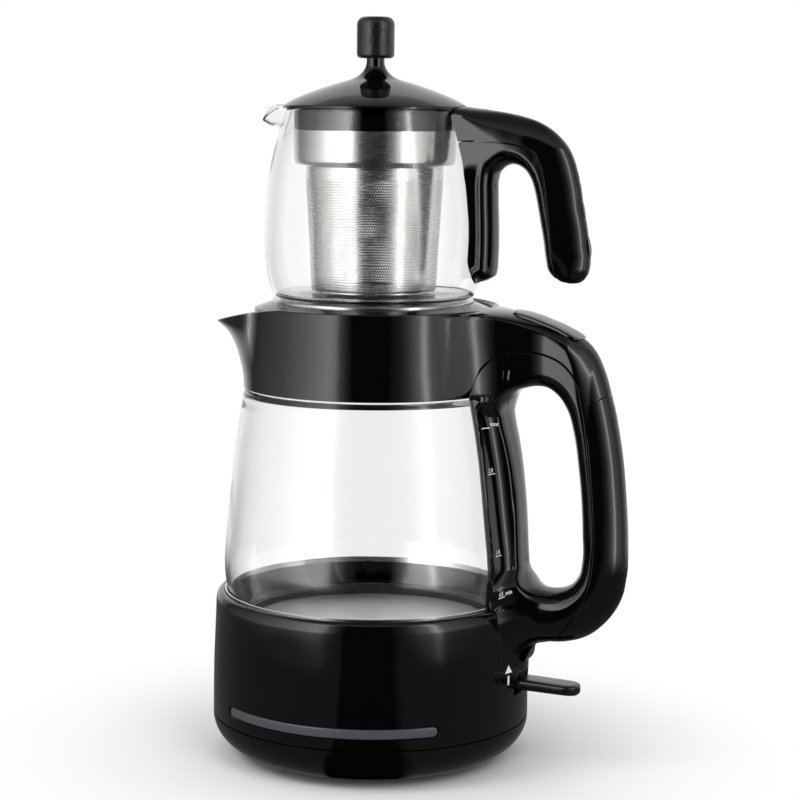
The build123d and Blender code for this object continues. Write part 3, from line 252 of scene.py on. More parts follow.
# moulded plastic: slow flow of the skin, fine orange peel and a patchy gloss
start = {"Peel Scale": 900.0, "Peel Share": 0.1, "Smooth": 0.05, "Dull": 0.1}
moulded, given = group_of("moulded_skin", start, "Roughness", "Height")
place = place_of(moulded)[0]
flow = node_of(moulded, "TexNoise", place, Scale=28.0, Detail=1.0, Roughness=0.4)
peel = node_of(moulded, "TexNoise", place, Scale=given["Peel Scale"], Detail=1.0, Roughness=0.5)
patch = node_of(moulded, "TexNoise", place, Scale=55.0, Detail=4.0, Roughness=0.6)
height = math_of(moulded, "MULTIPLY_ADD", peel.outputs["Fac"], given["Peel Share"], flow.outputs["Fac"])
spread = node_of(moulded, "MapRange", patch.outputs["Fac"], 0.35, 0.7, given["Smooth"], given["Dull"])
fill(moulded, moulded.nodes.new("NodeGroupOutput"), spread, height)


def plastic(name, colour, smooth, dull, flow_depth, peel_share=0.1, peel_scale=900.0):
    """Moulded plastic: a colour, a patchy gloss from smooth to dull and a skin whose flow is flow_depth deep."""
    made, tree, shader = finish_of(name, colour, IOR=1.5)
    peel = {"Peel_Share": peel_share, "Peel_Scale": peel_scale}
    skinned(tree, shader, moulded, flow_depth, Smooth=smooth, Dull=dull, **peel)
    return made


def dress(finish, slot, *names):
    """Gives CAD nodes a finish in place of their own. The slot is not used."""
    for name in names:
        nodes[name].data.materials.clear()
        nodes[name].data.materials.append(finish)


gloss_black = plastic("gloss_black", (0.0016, 0.0016, 0.0018), 0.03, 0.07, 0.0004, 0.02)
satin_black = plastic("satin_black", (0.006, 0.006, 0.0065), 0.30, 0.38, 0.0003, 0.6, 2200.0)
silicone = plastic("silicone", (0.03, 0.03, 0.031), 0.55, 0.7, 0.0003, 0.4, 1400.0)
dress(gloss_black, "gloss_black", "base_shell")
dress(satin_black, "satin_black", "base_plate", "base_socket", "cord_gland")
dress(silicone, "silicone", "base_feet")

# ---------------------------------------------------------------- base screws and contact rings
# Three steel screws hold the underside; three plated brass rings round the socket take
# the current to the kettle in any direction.

# turned and brushed steel: hair lines that run round the upright axis
start = {"Line Scale": 2600.0, "Smooth": 0.18, "Dull": 0.34}
brushed, given = group_of("brushed_lines", start, "Roughness", "Height")
_, x, y, z = place_of(brushed)
radius = math_of(brushed, "SQRT", math_of(brushed, "MULTIPLY_ADD", y, y, math_of(brushed, "MULTIPLY", x, x)))
out, up = (math_of(brushed, "MULTIPLY", length, given["Line Scale"]) for length in (radius, z))
turning = math_of(brushed, "MULTIPLY", math_of(brushed, "ARCTAN2", y, x), 6.0)
place = node_of(brushed, "CombineXYZ", out, turning, up)
lines = node_of(brushed, "TexNoise", place, Scale=1.0, Detail=2.0, Roughness=0.6).outputs["Fac"]
spread = node_of(brushed, "MapRange", lines, 0.3, 0.7, given["Smooth"], given["Dull"])
fill(brushed, brushed.nodes.new("NodeGroupOutput"), spread, lines)


def metal(name, colour, smooth, dull, line_depth, line_scale=2600.0):
    """Turned metal: a colour, and hair lines line_depth deep that also change the gloss from smooth to dull."""
    made, tree, shader = finish_of(name, colour, Metallic=1.0)
    skinned(tree, shader, brushed, line_depth, Smooth=smooth, Dull=dull, Line_Scale=line_scale)
    return made


steel = metal("steel", (0.62, 0.605, 0.585), 0.14, 0.26, 0.000003)
brass = metal("brass", (0.72, 0.55, 0.25), 0.2, 0.35, 0.000004)
dress(steel, "steel", "base_screws")
dress(brass, "brass", "socket_contacts")

# ---------------------------------------------------------------- kettle housing
# A glossy drum under the glass with a rounded shoulder. It has a long window for the
# light strip and a slot for the lever; cover, connector and controls close it below.

mm = 0.001
housing_profile = [
    (91.7, 25.0), (93.1, 25.0), (93.6, 25.15), (93.9, 25.45), (94.0, 25.9), (93.85, 42.0), (93.6, 58.0), (93.0, 72.0),
    (92.45, 85.0), (92.25, 91.0), (92.1, 93.6), (91.7, 95.4), (91.1, 96.6), (90.4, 97.4), (89.6, 97.85), (88.8, 98.0),
    (87.8, 98.0), (87.5, 97.85), (87.4, 97.5), (87.4, 92.0), (89.4, 88.5), (90.2, 72.0), (91.1, 57.9), (91.5, 26.0),
]
strip_place = (math.radians(-86.0), 93.9, 34.8)      # angle, radius and height of its middle
strip_half = 68.6          # along the housing's surface
lever_slot_half = 9.3
slot_from, slot_to, slot_low, slot_high = 84.0, 99.0, 44.0, 58.0      # in x and in height


def run_of(line):
    """How far along a line each of its points lies."""
    return np.r_[0.0, np.cumsum(np.linalg.norm(np.diff(line, axis=0), axis=1))]


def smooth_line(points, count, closed=False):
    """A soft curve through points of any number of coordinates. Each piece is a cubic whose end slopes come
    from the chords to both neighbours; count points are then spaced evenly along it."""
    points = np.asarray(points, float)
    if closed:
        points = np.vstack([points[-3:], points, points[:4]])
    chord = run_of(points)
    slope = np.gradient(points, chord, axis=0)
    first, last = (chord[3], chord[len(points) - 4]) if closed else (0.0, chord[-1])
    fine = np.linspace(first, last, 80 * len(points))
    i = np.clip(np.searchsorted(chord, fine, side="right") - 1, 0, len(points) - 2)
    step = (chord[i + 1] - chord[i])[:, None]
    u = (fine - chord[i])[:, None] / step
    line = (
        points[i] * (2 * u**3 - 3 * u**2 + 1)
        + slope[i] * step * (u**3 - 2 * u**2 + u)
        + points[i + 1] * (3 * u**2 - 2 * u**3)
        + slope[i + 1] * step * (u**3 - u**2)
    )
    length = run_of(line)
    even = np.linspace(0.0, length[-1], count + 1 if closed else count)
    even = even[:-1] if closed else even
    return np.stack([np.interp(even, length, column) for column in line.T], -1)


def shell(name, finish, *grids, rows_round=False, fold=38.0):
    """A piece from grids of points in millimetres whose columns run round, and whose rows may too. Neighbours on
    a grid make the faces; points that fall together are merged."""
    points, faces, start, close = [], [], 0, 1e-6
    for grid in grids:
        index = start + np.arange(grid.shape[0] * grid.shape[1]).reshape(grid.shape[:2])
        start += index.size
        index = np.vstack([index, index[:1]]) if rows_round else index
        index = np.hstack([index, index[:, :1]])
        corners = (index[:-1, :-1], index[1:, :-1], index[1:, 1:], index[:-1, 1:])
        faces.append(np.stack(corners, -1).reshape(-1, 4))
        points.append(grid.reshape(-1, 3))
    mesh = bpy.data.meshes.new(name)
    mesh.from_pydata(np.vstack(points) * mm, [], np.vstack(faces))
    work = bmesh.new()
    work.from_mesh(mesh)
    bmesh.ops.remove_doubles(work, verts=work.verts, dist=close)
    bmesh.ops.dissolve_degenerate(work, edges=work.edges, dist=close)
    bmesh.ops.recalc_face_normals(work, faces=work.faces)
    work.to_mesh(mesh)
    work.free()
    mesh.shade_smooth()
    mesh.set_sharp_from_angle(angle=math.radians(fold))
    mesh.materials.append(finish)
    return linked(name, mesh)


def polar(reach, angle, z):
    """Points at a reach from the upright axis, an angle round it and a height."""
    return np.stack([reach * np.cos(angle), reach * np.sin(angle), z], -1)


def turned(profile, steps):
    """A lathe grid: the profile of radius and height carried round the upright axis."""
    turn = np.linspace(0.0, 2 * np.pi, steps, endpoint=False)
    radius, height = np.asarray(profile, float).T[..., None]
    return polar(radius, turn, height + 0 * turn)


def mesh_of(thing):
    """The mesh that an object comes to, with its modifiers."""
    bpy.context.view_layer.update()
    return bpy.data.meshes.new_from_object(thing.evaluated_get(bpy.context.evaluated_depsgraph_get()))


def cut(piece, *cutters):
    """The piece less each cutter: an exact difference, put into its own mesh. The cutters are thrown away."""
    for cutter in cutters:
        tool = piece.modifiers.new("cut", "BOOLEAN")
        tool.operation, tool.solver, tool.object = "DIFFERENCE", "EXACT", cutter
    mesh = mesh_of(piece)
    piece.modifiers.clear()
    piece.data = mesh
    mesh.set_sharp_from_angle(angle=math.radians(38.0))
    for cutter in cutters:
        bpy.data.objects.remove(cutter)


def along_wall(grid, centre, radius, z):
    """Points given along, up and across, bent on to an upright drum of that radius about an angle and a height."""
    return polar(radius + grid[..., 2], centre + grid[..., 0] / radius, grid[..., 1] + z)


def long_pill(half_length, half_height, levels):
    """A pill whose straight sides are divided too, so that it can be bent along a drum."""
    bow = np.linspace(-np.pi / 2, np.pi / 2, 13)
    straight = np.linspace(-1.0, 1.0, 41)[1:-1] * (half_length - half_height)
    rings = []
    for drawn_in, across in levels:
        size = half_height - drawn_in
        right = np.stack([half_length - half_height + size * np.cos(bow), size * np.sin(bow)], -1)
        upper = np.stack([-straight, size + 0 * straight], -1)
        ring = np.vstack([right, upper, -right, -upper])
        rings.append(np.column_stack([ring, np.full(len(ring), across)]))
    return np.stack(rings)


def capped(grid):
    """A tube of sections closed at both ends by rows drawn together at their middle."""
    first, last = (grid[i].mean(0) + 0 * grid[i] for i in (0, -1))
    return np.concatenate([first[None], grid, last[None]])


def slab_of(front, back):
    """A slab from the points of its front and its back, closed at both ends."""
    return capped(np.concatenate([front, back[:, ::-1]], axis=1))


def box_of(corners, low_y, high_y):
    """A block for cutting, from its corners in side view, x and z, and its two ends in y."""
    x, z = np.asarray(corners).T
    return capped(np.stack([np.stack([x, 0 * x + y, z], -1) for y in (low_y, high_y)]))


housing = shell("housing", gloss_black, turned(housing_profile, 220), rows_round=True)
window = long_pill(strip_half + 0.9, 3.15, [(3.149, -4), (0, -4), (0, 4), (3.149, 4)])
window_lip = long_pill(strip_half + 1.3, 3.5, [(3.499, -0.35), (0.3, -0.35), (0, 0.2), (0, 4), (3.499, 4)])
slot_box = [(slot_from, slot_low), (slot_from, slot_high), (slot_to, slot_high), (slot_to, slot_low)]
slot_box = box_of(slot_box, -lever_slot_half, lever_slot_half)
cut(
    housing,
    shell("window", gloss_black, along_wall(window, *strip_place)),
    shell("window_lip", gloss_black, along_wall(window_lip, *strip_place)),
    shell("slot", gloss_black, slot_box),
)
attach(housing, "kettle")
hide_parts("bottom_housing")
dress(satin_black, "satin_black", "bottom_cover", "kettle_connector", "control_unit", "switch_box")
dress(steel, "steel", "cover_screws")

# ---------------------------------------------------------------- light strip
# A frosted grey bar with round ends, let into the housing's window. A green lacquered
# board with the lamps stands behind it.

grey_diffuser = plastic("grey_diffuser", (0.068, 0.073, 0.085), 0.22, 0.3, 0.0002, 0.3)
circuit_board = plastic("circuit_board", (0.03, 0.16, 0.07), 0.3, 0.4, 0.0002, 0.3)
bar_levels = [
    (2.75, -2.6), (0.3, -2.6), (0, -2.3), (0, -0.55), (0.12, -0.33), (0.4, -0.2), (0.9, -0.16), (2.75, -0.12),
]
light_bar = along_wall(long_pill(strip_half, 2.76, bar_levels), *strip_place)
light_bar = shell("light_bar", grey_diffuser, light_bar)
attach(light_bar, "kettle")
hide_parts("light_strip")
dress(circuit_board, "circuit_board", "led_board")

# ---------------------------------------------------------------- heater
# A turned steel disc closes the glass below, pressed into a silicone seal. Under it lie
# the aluminium spreader and the heating coil.

turned_steel = metal("turned_steel", (0.86, 0.845, 0.82), 0.30, 0.40, 0.000004, 1300.0)
# its round grooves draw each highlight out towards the rim
tree = turned_steel.node_tree
grooves = node_of(tree, "Tangent")
grooves.direction_type, grooves.axis = "RADIAL", "Z"
fill(tree, tree.nodes["Principled BSDF"], Tangent=grooves, Anisotropic=0.9, Anisotropic_Rotation=0.25)
aluminium = metal("aluminium", (0.72, 0.72, 0.73), 0.3, 0.45, 0.000006)
dress(turned_steel, "steel", "heating_plate")
dress(aluminium, "aluminium", "diffuser_plate", "heating_element")
dress(silicone, "silicone", "plate_seal")

# ---------------------------------------------------------------- kettle glass
# A blown glass body without a bottom, slightly waisted, with a step below its neck. A
# thin steel ring trims the gap to the housing.

clear_glass, tree, shader = finish_of(
    "clear_glass", (0.985, 0.99, 0.988), Transmission_Weight=1.0, Roughness=0.0, IOR=1.47
)
waves = node_of(tree, "TexNoise", place_of(tree)[0], Scale=24.0, Detail=1.0)
bumped(tree, shader, waves, 0.0003)
# it throws no shadow
shadow = node_of(tree, "LightPath").outputs["Is Shadow Ray"]
mix = node_of(tree, "MixShader", shadow, shader, node_of(tree, "BsdfTransparent"))
fill(tree, tree.nodes["Material Output"], mix)
glass_outside = [
    (78.5, 80.0), (80.4, 83.5), (82.3, 88.0), (84.4, 94.5), (85.9, 101.0), (86.9, 108.0), (87.2, 114.0),
    (86.9, 122.0), (86.2, 131.0), (84.9, 146.0), (83.4, 161.0), (81.7, 178.0), (79.6, 194.0), (77.6, 207.0),
    (76.0, 215.5), (75.3, 218.4),
]
glass_neck = [
    (75.0, 219.0), (74.2, 219.3), (72.8, 219.3), (72.2, 219.8), (72.2, 221.5), (72.2, 232.9), (71.9, 233.4),
    (71.0, 233.5),
]
glass_inside = [
    (69.9, 233.4), (69.7, 232.9), (69.7, 221.0), (70.2, 219.4), (71.6, 217.2), (73.4, 215.0), (75.1, 206.6),
    (77.1, 193.7), (79.2, 177.6), (80.9, 160.7), (82.4, 145.7), (83.7, 130.7), (84.4, 121.9), (84.7, 114.0),
    (84.4, 108.1), (83.4, 101.3), (82.0, 95.1), (79.9, 88.8), (78.0, 84.3), (76.3, 80.4), (76.6, 80.0),
]
body_profile = np.vstack([
    smooth_line(glass_outside, 90), glass_neck, smooth_line(glass_inside[:3], 12), smooth_line(glass_inside[3:], 90),
])
kettle_glass = shell("kettle_body", clear_glass, turned(body_profile, 256), rows_round=True, fold=50.0)
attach(kettle_glass, "kettle")
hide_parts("kettle_glass")
dress(steel, "steel", "rim_trim")

# ---------------------------------------------------------------- collar with spout
# One glossy black moulding that grips the glass neck. Its wall leans in a little, and
# towards the spout it is drawn out into a beak whose rim falls away to the lip.

collar_foot_z = 219.5
collar_heights = [219.5, 222.0, 234.0, 246.0, 257.0, 264.5, 267.5]
collar_radii = [76.0, 75.9, 75.5, 74.8, 74.0, 73.7, 73.5]
# the beak's ridge, and half the angle over which it is drawn out, at some heights
beak_heights = [221.0, 228.0, 234.0, 241.0, 248.7, 254.0]
beak_ridge = [76.2, 78.6, 82.6, 88.0, 94.5, 101.7]
beak_spread = [54.0, 52.0, 49.0, 43.0, 37.0, 33.0]
mouth_r, ledge_r = 70.3, 67.4     # the mouth, and the ledge in it that the lid rests on
ledge_z, inside_foot_z = 259.8, 236.0
rim_top, rim_round = 267.4, 1.1
fall_from, fall_share, fall_power = 30.0, 0.0487, 1.323     # how the rim falls towards the lip


def collar_radius(height):
    """The collar's outside, without the beak, over height."""
    return np.interp(height, collar_heights, collar_radii)


def rim_height(x):
    """The rim's height over the place along the spout: level at the back, falling faster and faster towards the lip."""
    return rim_top - fall_share * np.maximum(-x - fall_from, 0.0) ** fall_power


turn = np.linspace(-180.0, 180.0, 361)[:-1]
beak_curve = smooth_line(np.stack([beak_heights, beak_ridge], -1), 400)


def beak_at(height):
    """Radius of the wall: the collar's own, and over the spout a ridge that sinks away to both sides."""
    ridge = np.interp(height, *beak_curve.T)
    spread = np.interp(height, beak_heights, beak_spread)
    away = np.clip(np.abs(turn) / spread, 0.0, 1.0)
    # rounded at the ridge, hollow on its sides
    blunt = 0.05
    soft = np.sqrt(away**2 + blunt**2) - blunt
    share = np.clip(1.0 - soft / (np.sqrt(1.0 + blunt**2) - blunt), 0.0, 1.0) ** 1.75
    plain = collar_radius(height)
    return plain + np.maximum(ridge - plain, 0.0) * share


top = np.full(turn.shape, rim_top)
for _ in range(12):
    reach = beak_at(top)
    top = 0.5 * top + 0.5 * rim_height(-reach * np.cos(np.radians(turn)))
# the wall's outside, from the foot up to the rim; each column ends at its own rim height
outside_z = collar_foot_z + (top - collar_foot_z) * np.linspace(0.0, 1.0, 56)[:, None]
outside_r = beak_at(outside_z)
over = np.linspace(0, np.pi, 7)[1:-1, None]
rim_r = beak_at(top) - rim_round * (1.0 - np.cos(over))
rim_z = top + 0.75 * rim_round * np.sin(over)
inside_z = top + (inside_foot_z - top) * np.linspace(0.0, 1.0, 40)[:, None]
ledge = np.where(inside_z > ledge_z, mouth_r, ledge_r)
spout_bore = beak_at(np.maximum(inside_z, 221.0)) - collar_radius(inside_z)
inside_r = np.maximum(ledge, np.minimum(collar_radius(inside_z) - 2 * rim_round, ledge) + np.maximum(spout_bore, 0.0))
inside_r[0] = rim_r[-1]
foot_r = np.array([[73.6], [74.0], [75.4]])
foot_z = np.array([[234.0], [220.2], [219.5]])
wall_r = np.vstack([outside_r, rim_r, inside_r[1:], foot_r + 0 * inside_r[:3]])
wall_z = np.vstack([outside_z, rim_z, inside_z[1:], foot_z + 0 * inside_z[:3]])
angle = np.radians(turn)
collar = shell("collar_wall", gloss_black, polar(-wall_r, angle, wall_z), rows_round=True)
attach(collar, "kettle")
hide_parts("collar")

# ---------------------------------------------------------------- kettle handle
# Three glossy mouldings round one opening: the bridge, in one with the collar; the
# inner half with the scale's panel and the tongue; and the screwed-on back cover.

grip_width = 15.5
root_half = 26.8
flange, flange_half = 2.0, 26.8      # its thickness on the glass and half its width
vent_first, vent_pitch, vent_span = (86.2, 232.4), (3.3, 0.2), (-40.0, -18.5)

# the opening's edge and the parting line beside it, as x and z pairs, once round
inner_pairs = [
    (95.6, 140, 81.0, 140), (94.2, 160, 79.0, 160), (92.0, 178, 77.0, 178), (88.8, 194, 74.6, 194),
    (86.2, 205, 72.6, 207), (85.4, 211.5, 70.9, 217), (87.2, 218.2, 72.6, 226), (91.2, 222.0, 76.2, 235.5),
    (97, 224.2, 83, 242.4), (103, 225.2, 94, 245), (109.0, 224.4, 107, 244.9), (115.2, 220.3, 119.4, 240.4),
    (120.4, 212.8, 128.0, 231), (124.3, 200.5, 132.3, 216), (127.5, 181.4, 136.6, 185),
    (129.7, 162.3, 138.8, 161), (130.9, 143.1, 139.8, 140), (131.3, 128, 138.8, 121),
    (129.3, 118.0, 134.8, 105), (125.0, 112.2, 128.8, 94), (118.8, 109.0, 121, 84.3), (111, 108.0, 113.5, 77.4),
    (104.2, 109.4, 103.2, 74.0), (99.6, 112.8, 98.2, 64.0), (97.6, 116.0, 93.5, 60.5),
    (96.8, 120.0, 86.5, 70.0), (96.3, 126.0, 83.6, 96), (95.9, 133.0, 82.2, 122),
]
# the back parts' edge along the parting line, and the outer outline
outer_stations = [
    (50, 219.8, 44, 268.4), (60, 219.8, 54, 268.4), (67, 220.4, 62, 268.4), (71.6, 224.0, 68, 268.4),
    (76.4, 236.8, 75, 268.3), (83.4, 243.0, 86, 267.2), (94.2, 245.5, 101.8, 264.2), (107.2, 245.4, 112.4, 261.4),
    (119.8, 240.8, 123.1, 256.8), (128.5, 231.3, 134.8, 247.4), (131.6, 222.6, 141.4, 234.6),
    (132.9, 216.6, 145.2, 222.4), (134.9, 203.0, 149.3, 205.6), (137.1, 185.1, 152.4, 188.5),
    (139.3, 161, 155.2, 163), (140.3, 140, 156.65, 140), (139.3, 120.8, 156.4, 119),
    (135.1, 104.8, 153.2, 104), (128.9, 93.9, 146.0, 92.2), (121.1, 84.2, 133.5, 81.6), (113.6, 77.3, 114.4, 76.7),
]
outline_end = [(105.3, 75.3), (100.6, 71.6), (98, 67.0), (96.6, 60), (96.2, 50), (96, 30)]

# the kettle's surface behind the handle: height and radius
kettle_wall = [
    (60, 92.2), (90, 91.7), (93.6, 91.3), (95.4, 90.8), (96.6, 90.2), (97.4, 89.4), (97.9, 88.6), (98.2, 87.0),
    (103.6, 87.5), (113.6, 87.6), (130, 86.6), (147.5, 84.9), (181.3, 81.6), (200, 78.9), (216.5, 75.9), (219, 75.8),
    (221, 72.3), (280, 72.3),
]

opening_line = smooth_line([p[:2] for p in inner_pairs], 700, closed=True)
outline = [(40, 268.4)] + [p[2:] for p in outer_stations[:-1]] + [(121.5, 77.5), (112.5, 76.6)] + outline_end
outer_line = smooth_line(outline, 900)


def nearest(line, points):
    """How far points are from a line of straight pieces: the least of the distances to all its pieces."""
    start, run = line[:-1], np.diff(line, axis=0)
    squared = (run**2).sum(1)
    found = []
    for part in np.array_split(points, max(1, len(points) // 3000)):
        to = part[:, None, :] - start
        share = np.clip((to * run).sum(2) / squared, 0.0, 1.0)
        found.append(np.sqrt((((to - share[..., None] * run)) ** 2).sum(2).min(1)))
    return np.concatenate(found)


def rounding(distance, size, power=2.0):
    """The share of full width at a distance from an edge: a flattened arc of that size, as high as it is wide."""
    return (1.0 - (1.0 - np.clip(distance / size, 0.0, 1.0)) ** power) ** (1.0 / power)


def glass_radius(height):
    """The outside of the kettle's glass over height."""
    return np.interp(
        height, [80, 98, 103.6, 113.6, 121, 130, 147.5, 165, 181.3, 200, 216.5, 218.5],
        [78.5, 85.6, 86.4, 87.2, 87.1, 86.5, 84.7, 83.0, 81.3, 78.6, 75.6, 75.4],
    )


def halved(low, high, rounds, past):
    """The place between low and high beyond which past holds, found by halving the interval."""
    for _ in range(rounds):
        middle = (low + high) / 2
        beyond = past(middle)
        low, high = np.where(beyond, low, middle), np.where(beyond, middle, high)
    return low


def handle_half_width(x, z):
    """Half the handle's width over a point of its side view. Its plain side is slim in the grip and wider at the
    bridge and at the foot. Where that side and the drum it stands on, the glass with a flange or the collar, come
    near each other, the distances to both are blended, and the surface is where the blend is nought."""
    foot_z = [60, 90, 95.4, 97.4, 98.2, 113.6, 200, 218, 240]
    foot = np.interp(z, foot_z, [92, 91.6, 90.9, 89.5, 87.5, 87.5, 78.9, 76, 77])
    root_x = np.sqrt(foot**2 - root_half**2)
    away = np.clip((110.0 - x) / (110.0 - root_x), 0.0, 1.25)
    width = grip_width + (root_half - grip_width) * away**1.7
    rib = np.interp(x, [78, 92, 104, 116], [17.0, 12.0, 14.0, grip_width])
    on_glass = np.clip((z - 110.0) / 10.0, 0.0, 1.0) * np.clip((216.0 - z) / 8.0, 0.0, 1.0)
    width += (rib - width) * on_glass
    flow = np.interp(z, [100, 212, 222], [6.0, 6.0, 15.0])
    wall = np.where(z > 219.0, collar_radius(z), np.where(z > 98.0, glass_radius(z) + flange, 1.0))

    def outside(y):
        """Whether y is past the blend: the lesser distance, less a share of flow that grows as the two come near."""
        to_wall, to_side = np.hypot(x, y) - wall, y - width
        share = np.clip(1.0 - np.abs(to_wall - to_side) / flow, 0.0, 1.0)
        return np.minimum(to_wall, to_side) - flow / 4 * share**2 > 0

    half = halved(0.0 * x, 60.0 + 0.0 * x, 18, outside)
    sunk = 0.9 * np.clip((58.0 - x) / 12.0, 0.0, 1.0)
    return np.where(z > 219.0, half - sunk, np.minimum(half, flange_half))


def handle_depth(x, z):
    """Half the handle's thickness across at a point of its side view: its half width, rounded off at the opening
    and at the outer outline."""
    points = np.stack([x, z], -1).reshape(-1, 2)
    from_opening = nearest(opening_line, points).reshape(x.shape)
    from_outside = nearest(outer_line, points).reshape(x.shape)
    opening_round = np.interp(x, [88, 98, 108, 122], [3.2, 3.6, 9.0, 11.0])
    top_round = np.interp(x, [60, 80, 98, 112, 123, 136], [1.5, 3.5, 6.0, 7.5, 9.0, 24.0])
    foot_round = 20.0 + 4.0 * np.clip((x - 110.0) / 20.0, 0.0, 1.0)
    outside_round = top_round + (foot_round - top_round) * np.clip((170.0 - z) / 60.0, 0.0, 1.0)
    share = np.minimum(rounding(from_opening, opening_round), rounding(from_outside, outside_round))
    return handle_half_width(x, z) * share


def pushed_out(grid, wall):
    """Points closer to the axis than a wall's radius, given for each, are moved out along x to the wall."""
    side = np.clip(np.abs(grid[..., 1]), 0, wall - 1)
    grid[..., 0] = np.maximum(grid[..., 0], np.sqrt(wall**2 - side**2))
    return grid


def against_kettle(grid):
    """Pushed out from the housing, the glass and the collar's mouth."""
    return pushed_out(grid, np.interp(grid[..., 2], [p[0] for p in kettle_wall], [p[1] for p in kettle_wall]))


def strip_between(first, second, columns, depth_of=handle_depth, bevel=0.45, across=0):
    """A closed moulding between two lines of its side view, as rows of sections. Each section runs from the first
    line to the second on the near side and back on the far side, half as thick as depth_of says. The cut edge
    along the second line is bevelled, and may have points across it, so that it can follow the kettle."""
    span = second - first
    width = np.linalg.norm(span, axis=1)[:, None]
    share = (1.0 - np.cos(np.linspace(0.0, np.pi, columns))) / 2.0
    edge = np.minimum(bevel, 0.3 * width)
    place = np.hstack([share[None, :] * (width - edge), width - edge * np.array([[0.55, 0.2]]), width])
    flat = first[:, None, :] + span[:, None, :] * (place / np.maximum(width, 1e-9))[..., None]
    depth = depth_of(flat[..., 0], flat[..., 1])
    fall = bevel * (1.0 - np.clip((width - place) / edge, 0.0, 1.0)) ** 2
    depth = np.maximum(depth - np.minimum(fall, 0.5 * depth), 0.0)
    near = np.stack([flat[..., 0], -depth, flat[..., 1]], -1)
    far = np.stack([flat[..., 0], depth, flat[..., 1]], -1)
    steps = np.linspace(0.0, 1.0, across + 2)[1:-1, None]
    cut_edge = near[:, -1:] + (far[:, -1:] - near[:, -1:]) * steps
    return np.concatenate([near, cut_edge, far[:, ::-1]], axis=1)


def ended(grid, bevel=0.35):
    """A tube of sections with both ends closed. An end row is drawn back and in by the bevel, then together."""
    ends = []
    for row, beside in ((grid[0], grid[1]), (grid[-1], grid[-2])):
        middle = row.mean(0)
        back = beside - row
        back *= min(0.45, bevel / np.linalg.norm(back, axis=1).mean())
        toward = middle - row
        toward *= np.minimum(bevel / np.maximum(np.linalg.norm(toward, axis=1), 1e-9), 1.0)[:, None]
        ends.append((row + back, row + toward, middle + 0 * row))
    first, last = ends
    return np.concatenate([first[::-1], grid[1:-1], last])


pairs = smooth_line(inner_pairs, 300, closed=True)
inner_half = strip_between(pairs[:, :2], pairs[:, 2:], 46, across=16)
inner = shell("handle_inner_half", gloss_black, against_kettle(inner_half), rows_round=True)
# three slanted vents in the ear beside the collar
vents = []
for step in range(3):
    slant = np.array([(-0.5, -2.6), (0.9, -2.9), (1.5, 2.6), (0.1, 2.9)]) + vent_first + step * np.array(vent_pitch)
    vents.append(shell("vent", gloss_black, box_of(slant, *vent_span)))
cut(inner, *vents)
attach(inner, "kettle")
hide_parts("handle_inner")

stations = smooth_line(outer_stations, 340)
# the back seam crosses the grip where the outer outline is at about z 222
seam = np.argmin(np.abs(stations[:, 3] - 222.4) + 1000.0 * (stations[:, 2] < 130))
bridge_rows, cover_rows = stations[: seam + 1], stations[seam:]
bridge = ended(strip_between(bridge_rows[:, 2:], bridge_rows[:, :2], 30))
bridge = shell("handle_bridge", gloss_black, against_kettle(bridge))
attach(bridge, "kettle")
cover = shell("handle_cover", gloss_black, ended(strip_between(cover_rows[:, 2:], cover_rows[:, :2], 30)))
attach(cover, "kettle")
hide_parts("handle_back_cover")

# ---------------------------------------------------------------- scale strip and level marks
# A thin black strip follows the glass under the handle's panel. The fill levels are
# printed white beside it: a dash and its number, with max above and min below.

strip_levels = np.linspace(98.6, 218.5, 60)
strip_half_wide = 28.3
strip_sides = np.linspace(-strip_half_wide, strip_half_wide, 41)


def hugging(side, height, lift):
    """Points on the handle's side of the glass: across, up and so far off its surface."""
    reach = glass_radius(height) + lift
    return np.stack([np.sqrt(reach**2 - side**2), side, height], -1)


side, level = np.meshgrid(strip_sides, strip_levels)
edge_side = np.minimum(strip_half_wide - np.abs(side), 0.8) / 0.8
front = hugging(side, level, 0.3 + 1.0 * np.sqrt(np.maximum(1 - (1 - edge_side) ** 2, 0)))
back = hugging(side, level, 0.25 + 0 * side)
scale_strip = shell("scale_strip", gloss_black, slab_of(front, back))
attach(scale_strip, "kettle")
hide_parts("spine_strip")

dash_thick, word_size = 0.5, 3.3
white_print = plastic("white_print", (0.82, 0.82, 0.81), 0.35, 0.5, 0.0001, 0.4, 1800.0)


def on_flange(side, height):
    """Points on the near side of the handle's flange, 0.12 mm off it, where the handle is as wide as the side
    asked for."""
    x = halved(66.0 + 0.0 * side, 106.0 + 0.0 * side, 16, lambda x: handle_half_width(x, height) <= -side)
    return np.stack([x + 0.12, side - 0.05, height], -1)


def printed(name, mesh, points):
    """A flat mesh in white print, its points in millimetres laid on the kettle."""
    mesh.vertices.foreach_set("co", (points * mm).ravel())
    mesh.materials.clear()
    mesh.materials.append(white_print)
    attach(linked(name, mesh), "kettle")


def laid(name, mesh, side, z, squeeze=1.0, rise=0.0):
    """A mesh drawn flat, put on the flange. Where the surface runs back, what is drawn is squeezed across; the
    rise lifts it to the right."""
    flat = np.empty(len(mesh.vertices) * 3)
    mesh.vertices.foreach_get("co", flat)
    run, up = flat.reshape(-1, 3)[:, 0] * squeeze, flat.reshape(-1, 3)[:, 1]
    printed(name, mesh, on_flange(side + run, z + up + rise * run))


def words_on(name, words, size, side, z, squeeze, rise):
    """Words laid on the flange, their left foot at a distance across and a height."""
    curve = bpy.data.curves.new(name, "FONT")
    curve.body, curve.size, curve.offset = words, size, 0.035
    text = linked(name, curve)
    mesh = mesh_of(text)
    bpy.data.objects.remove(text)
    laid(name, mesh, side, z, squeeze, rise)


